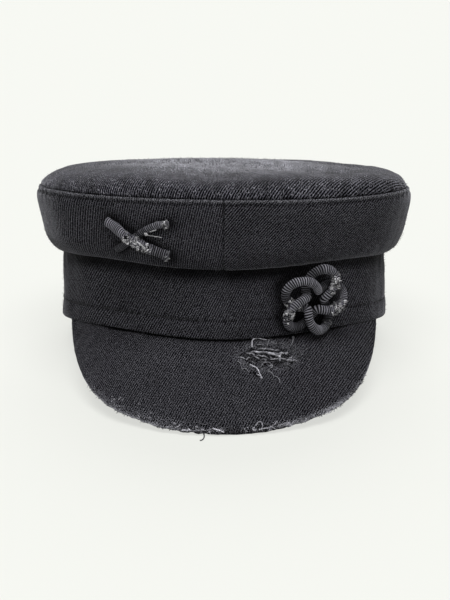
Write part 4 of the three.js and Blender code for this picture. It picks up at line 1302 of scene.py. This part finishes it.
# loose yarn in the torn place. Places are (across, out) on the peak, lift and radius are in mm,
# and tone goes from 0, black, to 1, undyed
tornYarn = {
    # weft yarns left across the hole: places, lift, thickness, tone
    "weft": [
        ([(0.160, 0.130), (0.185, 0.123), (0.204, 0.137), (0.223, 0.153), (0.248, 0.163), (0.267, 0.163)],
         0.5, 1.0, 0.5),
        ([(0.130, 0.149), (0.147, 0.153), (0.161, 0.173), (0.195, 0.180), (0.219, 0.190), (0.246, 0.213),
          (0.269, 0.237)], 0.6, 1.05, 0.8),
        ([(0.209, 0.197), (0.231, 0.217), (0.254, 0.243), (0.260, 0.270),
          (0.255, 0.293)], 0.7, 1.15, 0.85),
        ([(0.106, 0.163), (0.122, 0.173), (0.136, 0.190), (0.146, 0.220),
          (0.160, 0.250)], 0.5, 0.85, 0.55),
        ([(0.149, 0.210), (0.168, 0.213), (0.186, 0.227), (0.206, 0.245)], 0.5, 0.75, 0.6),
        ([(0.214, 0.270), (0.236, 0.267), (0.259, 0.280), (0.282, 0.297), (0.311, 0.313), (0.336, 0.345)],
         0.5, 0.8, 0.6),
        ([(0.290, 0.313), (0.309, 0.293), (0.326, 0.270)], 0.5, 0.8, 0.55),
        ([(0.308, 0.318), (0.322, 0.328), (0.338, 0.335)], 0.5, 0.9, 0.5),
        ([(0.272, 0.337), (0.284, 0.367), (0.297, 0.380), (0.314, 0.425)], 0.3, 0.75, 0.26),
        ([(0.277, 0.080), (0.296, 0.100), (0.311, 0.152)], 0.3, 0.7, 0.24),
        ([(0.263, 0.205), (0.285, 0.218), (0.302, 0.236)], 0.5, 0.7, 0.55),
    ],
    # single loose ends that curl up: (across, out, lift), radius, tone
    "ends": [
        ([(0.138, 0.100, 0.1), (0.140, 0.055, 0.7), (0.144, 0.026, 0.9), (0.156, 0.008, 0.9),
          (0.176, 0.004, 0.8), (0.191, 0.014, 0.7), (0.218, 0.026, 0.4)], 0.32, 0.8),
        ([(0.117, 0.307, 0.1), (0.126, 0.337, 0.7), (0.139, 0.363, 0.9), (0.146, 0.397, 0.9),
          (0.150, 0.433, 0.8), (0.158, 0.477, 0.4)], 0.33, 0.75),
        ([(0.136, 0.425, 0.2), (0.145, 0.443, 0.5), (0.156, 0.463, 0.5)], 0.3, 0.55),
        ([(0.155, 0.466, 0.2), (0.153, 0.480, 0.6), (0.160, 0.484, 0.5)], 0.36, 0.6),
        ([(0.216, 0.473, 0.1), (0.225, 0.497, 0.5), (0.230, 0.527, 0.6), (0.231, 0.560, 0.1)], 0.2, 0.4),
        ([(0.364, 0.052, 0.2), (0.362, 0.034, 0.6), (0.354, 0.047, 0.8), (0.354, 0.075, 0.7),
          (0.340, 0.122, 0.1)], 0.32, 0.4),
        ([(0.126, 0.273, 0.1), (0.131, 0.290, 0.5), (0.141, 0.312, 0.1)], 0.26, 0.3),
        ([(0.060, 0.258, 0.1), (0.069, 0.280, 0.5), (0.078, 0.302, 0.1)], 0.24, 0.34),
        ([(0.074, 0.353, 0.1), (0.091, 0.357, 0.5), (0.106, 0.388, 0.1)], 0.24, 0.28),
        ([(0.076, 0.213, 0.1), (0.087, 0.230, 0.6), (0.097, 0.241, 0.2)], 0.34, 0.55),
        ([(0.102, 0.249, 0.1), (0.111, 0.230, 0.6), (0.120, 0.233, 0.2)], 0.3, 0.42),
        ([(0.171, 0.263, 0.1), (0.180, 0.263, 0.6), (0.188, 0.283, 0.7), (0.181, 0.303, 0.7),
          (0.170, 0.300, 0.6), (0.168, 0.275, 0.2)], 0.2, 0.28),
        ([(0.156, 0.370, 0.1), (0.169, 0.323, 0.6), (0.186, 0.307, 0.7), (0.204, 0.317, 0.7),
          (0.208, 0.357, 0.6), (0.196, 0.393, 0.5), (0.178, 0.398, 0.2)], 0.24, 0.26),
        ([(0.201, 0.350, 0.1), (0.211, 0.343, 0.6), (0.212, 0.370, 0.7), (0.200, 0.378, 0.2)], 0.3, 0.36),
        ([(0.190, 0.403, 0.1), (0.201, 0.433, 0.6), (0.212, 0.472, 0.1)], 0.26, 0.32),
        ([(0.239, 0.053, 0.1), (0.250, 0.087, 0.6), (0.267, 0.087, 0.2)], 0.28, 0.26),
        ([(0.231, 0.020, 0.1), (0.226, 0.050, 0.5), (0.214, 0.100, 0.1)], 0.26, 0.3),
        ([(0.165, 0.070, 0.1), (0.176, 0.080, 0.5), (0.196, 0.080, 0.1)], 0.26, 0.34),
        ([(0.268, 0.228, 0.3), (0.276, 0.222, 0.9), (0.283, 0.232, 0.5)], 0.4, 0.7),
        ([(0.292, 0.232, 0.2), (0.300, 0.226, 0.8), (0.305, 0.236, 0.4)], 0.36, 0.6),
        ([(0.262, 0.345, 0.1), (0.275, 0.375, 0.5), (0.285, 0.420, 0.4)], 0.18, 0.16),
    ],
    # each weft yarn is two plies, twisted together once in so many mm
    "twist": 1.9,
    "plyRadius": 0.29,
    "plyApart": 0.26,
    # short fuzz in and round the hole
    "fuzz": 850,
    "fuzzLength": (0.9, 3.2),
    "fuzzRadii": (0.07, 0.11, 0.17),
    "shake": 0.03,
}


def peakOutward(across, out):
    # the way that the peak's face looks
    step = 0.004
    along = peakPoint(across + step, out, 0.0) - peakPoint(across - step, out, 0.0)
    down = peakPoint(across, out + step, 0.0) - peakPoint(across, out - step, 0.0)
    normal = unit(np.cross(along, down))
    return normal * np.sign(normal[..., 2:3])


def looseEnds(rng, strands, count, shake, paleFrom, knotty):
    # single strands over the peak, uneven in tone and, if knotty, in thickness
    batches = []
    for points, radius, tone in strands:
        dense = smoothCurve(points, count=count)[0]
        across, out = dense[:, 0], dense[:, 1]
        path = peakPoint(across, out, 0.0) + peakOutward(across, np.minimum(out, 0.99)) * dense[:, 2:3]
        path = path + rng.normal(size=path.shape) * shake
        thickness = radius * (1 - 0.5 * np.linspace(0, 1, count) ** 3)
        if knotty:
            thickness = thickness * rng.uniform(0.8, 1.2, count)
        uneven = np.clip(tone * rng.uniform(paleFrom, 1.2, (1, count)), 0, 1)
        batches.append((path[None], thickness[None], uneven, 6))
    return batches


def buildTornYarns():
    rng = np.random.default_rng(91)
    batches = []
    t = np.linspace(0, 1, 60)
    for route, lift, thickness, tone in tornYarn["weft"]:
        across, out = smoothCurve(route, count=60)[0].T
        out = out + 0.005 * np.sin(t * rng.uniform(8, 16) + rng.uniform(0, 6))
        normal = peakOutward(across, out)
        middle = peakPoint(across, out, 0.0) + normal * (lift * np.sin(math.pi * t) ** 0.5 - 0.25)[:, None]
        length = np.linalg.norm(np.diff(middle, axis=0), axis=1).sum()
        side = np.cross(unit(np.gradient(middle, axis=0)), normal)
        for ply in range(2):
            turn = t * length / tornYarn["twist"] * 2 * math.pi + ply * math.pi
            away = side * np.cos(turn)[:, None] + normal * np.sin(turn)[:, None]
            path = middle + tornYarn["plyApart"] * thickness * away
            path = path + rng.normal(size=path.shape) * tornYarn["shake"]
            slim = 0.5 + 0.5 * np.sin(math.pi * np.clip(t, 0.02, 0.98)) ** 0.4
            radius = tornYarn["plyRadius"] * thickness * slim
            wave = np.sin(t * rng.uniform(9, 20) + rng.uniform(0, 6))
            uneven = np.clip(tone * (1.05 - 0.4 * ply) * (0.75 + 0.35 * wave), 0, 1)
            batches.append((path[None], radius[None], uneven[None], 6))
    batches += looseEnds(rng, tornYarn["ends"], 36, tornYarn["shake"], 0.6, False)
    amount = tornYarn["fuzz"]
    spread = rng.normal(size=(amount, 2)) * 0.52
    across = torn["across"] + spread[:, 0] * 0.155
    slant = torn["lean"] * (across - torn["across"])
    out = np.clip(torn["out"] + 0.02 + spread[:, 1] * 0.2 + slant, 0.02, 0.62)
    outward = peakOutward(across, out)
    roots = peakPoint(across, out, tornShare(across, out) * 0.6)
    heading = np.stack([rng.normal(1, 0.5, amount) * rng.choice([-1, 1], amount),
                        rng.normal(0, 0.55, amount), np.zeros(amount)], 1)
    lengths = rng.uniform(*tornYarn["fuzzLength"], amount)
    paths = fibrePaths(rng, roots, outward, lengths, lift=0.25, curl=0.65, hug=0.3, heading=heading)
    tone = np.clip(rng.beta(0.9, 2.6, amount) * 0.5, 0, 1)
    radii = mixedTaper(amount, 7, tornYarn["fuzzRadii"], [0.55, 0.3, 0.15], rng)
    batches.append((paths, radii, tone, 3))
    threadPiece("peak_torn_yarn", batches, cottonThread)


# the frayed edge of the peak, measured in the same way
edgeFray = {
    "fibres": 2900,
    "fibreLength": (0.7, 2.3),
    "fibreRadii": (0.09, 0.14, 0.2),
    "clumpFibres": 7,
    "span": (-0.64, 0.72),
    # how thick the fray is along the edge: place across, amount, how far in from the edge in mm, tone
    "zones": [
        (-0.62, 0.6, 2.6, 0.2), (-0.52, 1.3, 5.5, 0.3), (-0.42, 1.5, 6.5, 0.34), (-0.32, 1.3, 6.5, 0.32),
        (-0.2, 1.0, 3.4, 0.34), (-0.12, 1.2, 1.8, 0.4), (0.0, 0.8, 2.0, 0.26), (0.12, 0.9, 2.4, 0.3),
        (0.24, 0.7, 1.4, 0.26), (0.36, 1.1, 1.5, 0.34), (0.47, 1.5, 2.0, 0.4), (0.58, 0.9, 1.6, 0.3),
        (0.68, 0.3, 1.2, 0.2),
    ],
    # longer broken ends, hooks and curls, drawn stouter than single yarns as they tangle
    "ends": [
        ([(-0.142, 1.030, 0.1), (-0.132, 1.036, 0.9), (-0.126, 1.026, 0.4)], 0.42, 0.95),
        ([(-0.124, 1.034, 0.1), (-0.119, 1.022, 0.9), (-0.112, 1.026, 0.4)], 0.42, 0.9),
        ([(-0.114, 1.024, 0.3), (-0.080, 1.022, 0.6), (-0.054, 1.008, 0.6),
          (-0.038, 0.992, 0.3)], 0.26, 0.3),
        ([(-0.038, 0.988, 0.2), (-0.026, 1.004, 0.9), (-0.014, 1.016, 1.0), (0.0, 1.026, 0.4)], 0.4, 0.9),
        ([(0.097, 1.008, 0.1), (0.102, 1.026, 0.9), (0.109, 1.018, 0.6)], 0.46, 0.62),
        ([(0.108, 0.972, 0.1), (0.121, 0.944, 0.9), (0.130, 0.960, 1.0), (0.131, 0.994, 0.8),
          (0.124, 1.014, 0.3)], 0.32, 0.46),
        ([(0.118, 1.018, 0.2), (0.132, 1.016, 0.7), (0.142, 1.016, 0.7), (0.156, 1.010, 0.3)], 0.34, 0.6),
        ([(0.162, 0.998, 0.1), (0.170, 1.020, 0.7), (0.176, 1.032, 0.4)], 0.3, 0.5),
        ([(0.184, 1.010, 0.1), (0.198, 1.002, 0.6), (0.212, 1.014, 0.6), (0.228, 1.012, 0.2)], 0.26, 0.4),
        ([(-0.086, 0.932, 0.1), (-0.076, 0.951, 0.6), (-0.062, 0.954, 0.6),
          (-0.056, 0.932, 0.1)], 0.2, 0.2),
        ([(-0.028, 0.963, 0.1), (-0.018, 0.944, 0.6), (-0.016, 0.917, 0.1)], 0.2, 0.2),
        ([(-0.484, 0.925, 0.1), (-0.479, 0.900, 0.6), (-0.470, 0.895, 0.2)], 0.26, 0.42),
        ([(-0.462, 0.937, 0.1), (-0.463, 0.915, 0.7), (-0.450, 0.912, 0.3)], 0.26, 0.46),
        ([(-0.444, 0.905, 0.1), (-0.432, 0.874, 0.7), (-0.429, 0.845, 0.2)], 0.28, 0.44),
        ([(-0.422, 0.898, 0.1), (-0.416, 0.855, 0.5)], 0.26, 0.4),
        ([(-0.445, 0.994, 0.1), (-0.440, 0.966, 0.6)], 0.28, 0.5),
        ([(-0.435, 0.944, 0.1), (-0.423, 0.966, 0.6)], 0.28, 0.5),
        ([(-0.420, 1.012, 0.1), (-0.419, 0.992, 0.7), (-0.412, 0.985, 0.4)], 0.26, 0.5),
        ([(-0.403, 1.002, 0.1), (-0.388, 1.010, 0.6)], 0.26, 0.5),
        ([(-0.381, 0.966, 0.1), (-0.371, 0.981, 0.6)], 0.26, 0.44),
        ([(-0.379, 0.905, 0.1), (-0.371, 0.922, 0.6)], 0.28, 0.5),
        ([(-0.340, 0.880, 0.1), (-0.334, 0.840, 0.5)], 0.22, 0.34),
        ([(-0.357, 1.016, 0.1), (-0.343, 1.000, 0.6)], 0.34, 0.42),
        ([(-0.329, 0.970, 0.1), (-0.320, 0.990, 0.7), (-0.311, 1.010, 0.4)], 0.3, 0.44),
        ([(-0.307, 0.990, 0.1), (-0.299, 0.970, 0.6)], 0.32, 0.46),
        ([(-0.314, 0.900, 0.1), (-0.305, 0.902, 0.6)], 0.28, 0.44),
        ([(-0.275, 0.935, 0.1), (-0.273, 0.912, 0.6)], 0.3, 0.5),
        ([(-0.266, 1.004, 0.1), (-0.252, 1.014, 0.6)], 0.28, 0.4),
        ([(-0.247, 0.990, 0.1), (-0.236, 1.010, 0.6)], 0.32, 0.44),
        ([(-0.207, 1.026, 0.1), (-0.188, 1.014, 0.6)], 0.3, 0.46),
        ([(-0.180, 0.963, 0.1), (-0.165, 0.980, 0.6)], 0.28, 0.5),
        ([(-0.168, 1.014, 0.1), (-0.155, 0.998, 0.7), (-0.151, 0.970, 0.3)], 0.3, 0.56),
    ],
    "shake": 0.05,
    # one long end hangs from the front edge on to the surface: where from, and its run in mm from there
    "hangsFrom": (-0.068, 1.01, 1.2),
    "hanging": [(0, 0, 0), (0.1, -2.0, -0.3), (0.2, -4.6, -1.4), (-0.3, -6.8, -2.1), (-1.2, -8.4, -2.4),
                (-1.9, -8.6, -2.4)],
    "hangingRadius": 0.3,
    "hangingTone": 0.06,
}


def buildEdgeFray():
    rng = np.random.default_rng(95)
    amount = edgeFray["fibres"]
    place, thick, reach, pale = np.array(edgeFray["zones"]).T
    each = edgeFray["clumpFibres"]
    centres = rng.uniform(*edgeFray["span"], amount)
    keep = rng.uniform(0, 1.6, amount) < np.interp(centres, place, thick)
    centres = centres[keep][:amount // each]
    inward = np.abs(rng.normal(size=len(centres))) * np.interp(centres, place, reach) * 0.6
    light = np.interp(centres, place, pale) * rng.gamma(0.6, 1.7, len(centres))
    amount = len(centres) * each
    across = np.repeat(centres, each) + rng.normal(size=amount) * 0.0055
    inward = np.abs(np.repeat(inward, each) + rng.normal(size=amount) * 0.45)
    out = 1 - inward / peakDepth + openEdge(across)
    outward = peakOutward(across, out)
    roots = peakPoint(across, out, 0.0)
    edgeway = unit(peakPoint(across + 0.01, out, 0.0) - peakPoint(across - 0.01, out, 0.0))
    onward = unit(roots - peakPoint(across, out - 0.05, 0.0))
    # at the sides the fray lies inward over the cloth
    past = rng.normal(0.1, 0.6, (amount, 1)) - 0.8 * smoothStep(np.abs(across), 0.2, 0.4)[:, None]
    heading = edgeway * rng.normal(0, 1, (amount, 1)) + onward * past
    lengths = rng.uniform(*edgeFray["fibreLength"], amount)
    paths = fibrePaths(rng, roots, outward, lengths, points=6, lift=0.25, curl=0.75, hug=0.2,
                       heading=unit(heading))
    tone = np.clip(np.repeat(light, each) * rng.uniform(0.5, 1.3, amount), 0, 0.9)
    radii = mixedTaper(amount, 6, edgeFray["fibreRadii"], [0.5, 0.35, 0.15], rng)
    batches = [(paths, radii, tone, 3)]
    batches += looseEnds(rng, edgeFray["ends"], 30, edgeFray["shake"], 0.5, True)
    start = peakPoint(*edgeFray["hangsFrom"])
    hanging = smoothCurve(start + np.array(edgeFray["hanging"]), count=30)[0]
    radii = np.full((1, 30), edgeFray["hangingRadius"])
    batches.append((hanging[None], radii, np.array([edgeFray["hangingTone"]]), 6))
    threadPiece("peak_edge_fray", batches, cottonThread)


def napOnCrown(rng, amount):
    angle = rng.uniform(-math.pi, math.pi, amount)
    share = np.sqrt(rng.uniform(0.001, 0.995, amount))
    shares, rises = crownShares[::-1], crownRises[::-1]
    here = topPoint(angle, share, np.interp(share, shares, rises))
    inner = topPoint(angle, share - 0.01, np.interp(share - 0.01, shares, rises))
    ahead = topPoint(angle + 0.01, share, np.interp(share, shares, rises))
    return here, unit(np.cross(ahead - here, inner - here))


def napOnSides(rng, amount):
    angle = rng.uniform(-math.pi, math.pi, amount)
    run = rng.uniform(1, sideRun[-1] - 0.5, amount)
    spread, height = [np.interp(run, sideRun, sideLine[:, k]) for k in range(2)]
    spreadAhead, heightAhead = [np.interp(run + 0.5, sideRun, sideLine[:, k]) for k in range(2)]
    here = capPoint(angle, spread, height)
    ahead = capPoint(angle, spreadAhead, heightAhead)
    beside = capPoint(angle + 0.01, spread, height)
    return here, unit(np.cross(beside - here, ahead - here))


def napOnPeak(rng, amount):
    across = rng.uniform(-0.98, 0.98, amount)
    out = np.sqrt(rng.uniform(0.01, 0.98, amount))
    return peakPoint(across, out, 0.0), peakOutward(across, out)


def napOnBand(rng, amount):
    angle = rng.uniform(-math.pi, math.pi, amount)
    height = rng.uniform(0.5, 35, amount)
    return bandSurface(angle, height), capNormal(angle, 0, height)


# fine hairs that stand off the brushed cloth and soften its outline: lift, length and radius in mm
naps = {
    # the crown's hairs are paler than the rest: part of the painted light on the crown top
    "crown_top_nap": {"on": napOnCrown, "hairs": 5800, "seed": 97, "lift": 1.2, "length": 1.2,
                      "radius": 0.075, "tones": (0.05, 0.7)},
    "side_panel_nap": {"on": napOnSides, "hairs": 3400, "seed": 98, "lift": 0.6, "length": 1.1,
                       "radius": 0.055, "tones": (0.0, 0.22)},
    "band_nap": {"on": napOnBand, "hairs": 1300, "seed": 99, "lift": 0.6, "length": 1.0,
                 "radius": 0.055, "tones": (0.0, 0.16)},
    "peak_nap": {"on": napOnPeak, "hairs": 1300, "seed": 100, "lift": 0.5, "length": 1.0,
                 "radius": 0.055, "tones": (0.0, 0.2)},
}


def buildNap(name, nap):
    rng = np.random.default_rng(nap["seed"])
    hairs = nap["hairs"]
    roots, normals = nap["on"](rng, hairs)
    lengths = nap["length"] * rng.uniform(0.5, 1.4, hairs)
    paths = fibrePaths(rng, roots, normals, lengths, points=3, lift=nap["lift"], curl=0.4, hug=0.6)
    dark, pale = nap["tones"]
    tone = dark + (pale - dark) * rng.beta(1.2, 2.6, hairs)
    threadPiece(name, [(paths, taper(hairs, 3, nap["radius"], rng), tone, 3)], cottonThread)


buildTornYarns()
buildEdgeFray()
for name, nap in naps.items():
    buildNap(name, nap)
print("frayed and torn yarn laid")

# a pale room, lit from behind and from overhead. Suns: strength, and size, tilt and turn in degrees
studio = {
    "floorSize": 30.0,
    "floorColour": "#6b6c69",
    "floorGlow": 0.665,
    "glowColour": "#fdfef9",
    "skyColour": "#f7f8f3",
    "skyStrength": 1.0,
    "skyFrom": 0.08,
    "zenithFrom": 0.3,
    "zenithStrength": 0.28,
    "suns": {"rear softbox": (3.4, 40, 58, 180), "overhead softbox": (3.4, 50, 15, 0)},
}


def buildFloor():
    mesh = bpy.data.meshes.new("studio_floor")
    half = studio["floorSize"] / 2
    corners = [(-half, -half, 0), (half, -half, 0), (half, half, 0), (-half, half, 0)]
    mesh.from_pydata(corners, [], [(0, 1, 2, 3)])
    floor = bpy.data.objects.new("studio_floor", mesh)
    bpy.context.scene.collection.objects.link(floor)
    # matt white acrylic, lit a little from below, so shadows on it stay pale
    material, tree = newMaterial("backlit matt acrylic")
    matt = addNode(tree, "ShaderNodeBsdfDiffuse", {"Color": linearColour(studio["floorColour"])})
    glow = addNode(tree, "ShaderNodeEmission", {"Color": linearColour(studio["glowColour"]),
                                                "Strength": studio["floorGlow"]})
    both = addNode(tree, "ShaderNodeAddShader", {0: matt.outputs[0], 1: glow.outputs[0]})
    addNode(tree, "ShaderNodeOutputMaterial", {"Surface": both.outputs[0]})
    mesh.materials.append(material)


def buildLights():
    for name, (strength, size, tilt, turn) in studio["suns"].items():
        light = bpy.data.lights.new(name, "SUN")
        light.energy = strength
        light.angle = math.radians(size)
        lamp = bpy.data.objects.new(name, light)
        lamp.rotation_euler = (math.radians(tilt), 0, math.radians(turn))
        bpy.context.scene.collection.objects.link(lamp)
    # the sky is bright low down and dimmer overhead
    world = bpy.data.worlds.new("pale studio")
    world.use_nodes = True
    tree = world.node_tree
    tree.nodes.clear()
    view = addNode(tree, "ShaderNodeTexCoord").outputs["Generated"]
    up = addNode(tree, "ShaderNodeSeparateXYZ", {"Vector": view}).outputs["Z"]
    strength = addNode(tree, "ShaderNodeMapRange", {
        "Value": up, "From Min": studio["skyFrom"], "From Max": studio["zenithFrom"],
        "To Min": studio["skyStrength"], "To Max": studio["zenithStrength"]}).outputs[0]
    sky = addNode(tree, "ShaderNodeBackground", {"Color": linearColour(studio["skyColour"]),
                                                 "Strength": strength})
    addNode(tree, "ShaderNodeOutputWorld", {"Surface": sky.outputs[0]})
    bpy.context.scene.world = world


# the eye stands in front of the band and a little above it, in the cap's own frame
eye = {"side": 0.55, "distance": 1300.0, "rise": 187.6, "tilt": 7.9, "lens": 141.42, "sensor": 36,
       "farthest": 100}


def buildCamera():
    data = bpy.data.cameras.new("front view")
    data.lens = eye["lens"]
    data.sensor_width = eye["sensor"]
    data.clip_end = eye["farthest"]
    camera = bpy.data.objects.new("front view", data)
    camera.location = toWorld(np.array([eye["side"], -eye["distance"], eye["rise"]]))
    camera.rotation_euler = (math.pi / 2 - math.radians(eye["tilt"]) - lean, 0, 0)
    bpy.context.scene.collection.objects.link(camera)
    bpy.context.scene.camera = camera


buildFloor()
buildLights()
buildCamera()
bpy.context.scene.view_settings.view_transform = "Standard"
bpy.context.scene.view_settings.look = "None"
print("studio ready")

bpy.context.view_layer.update()
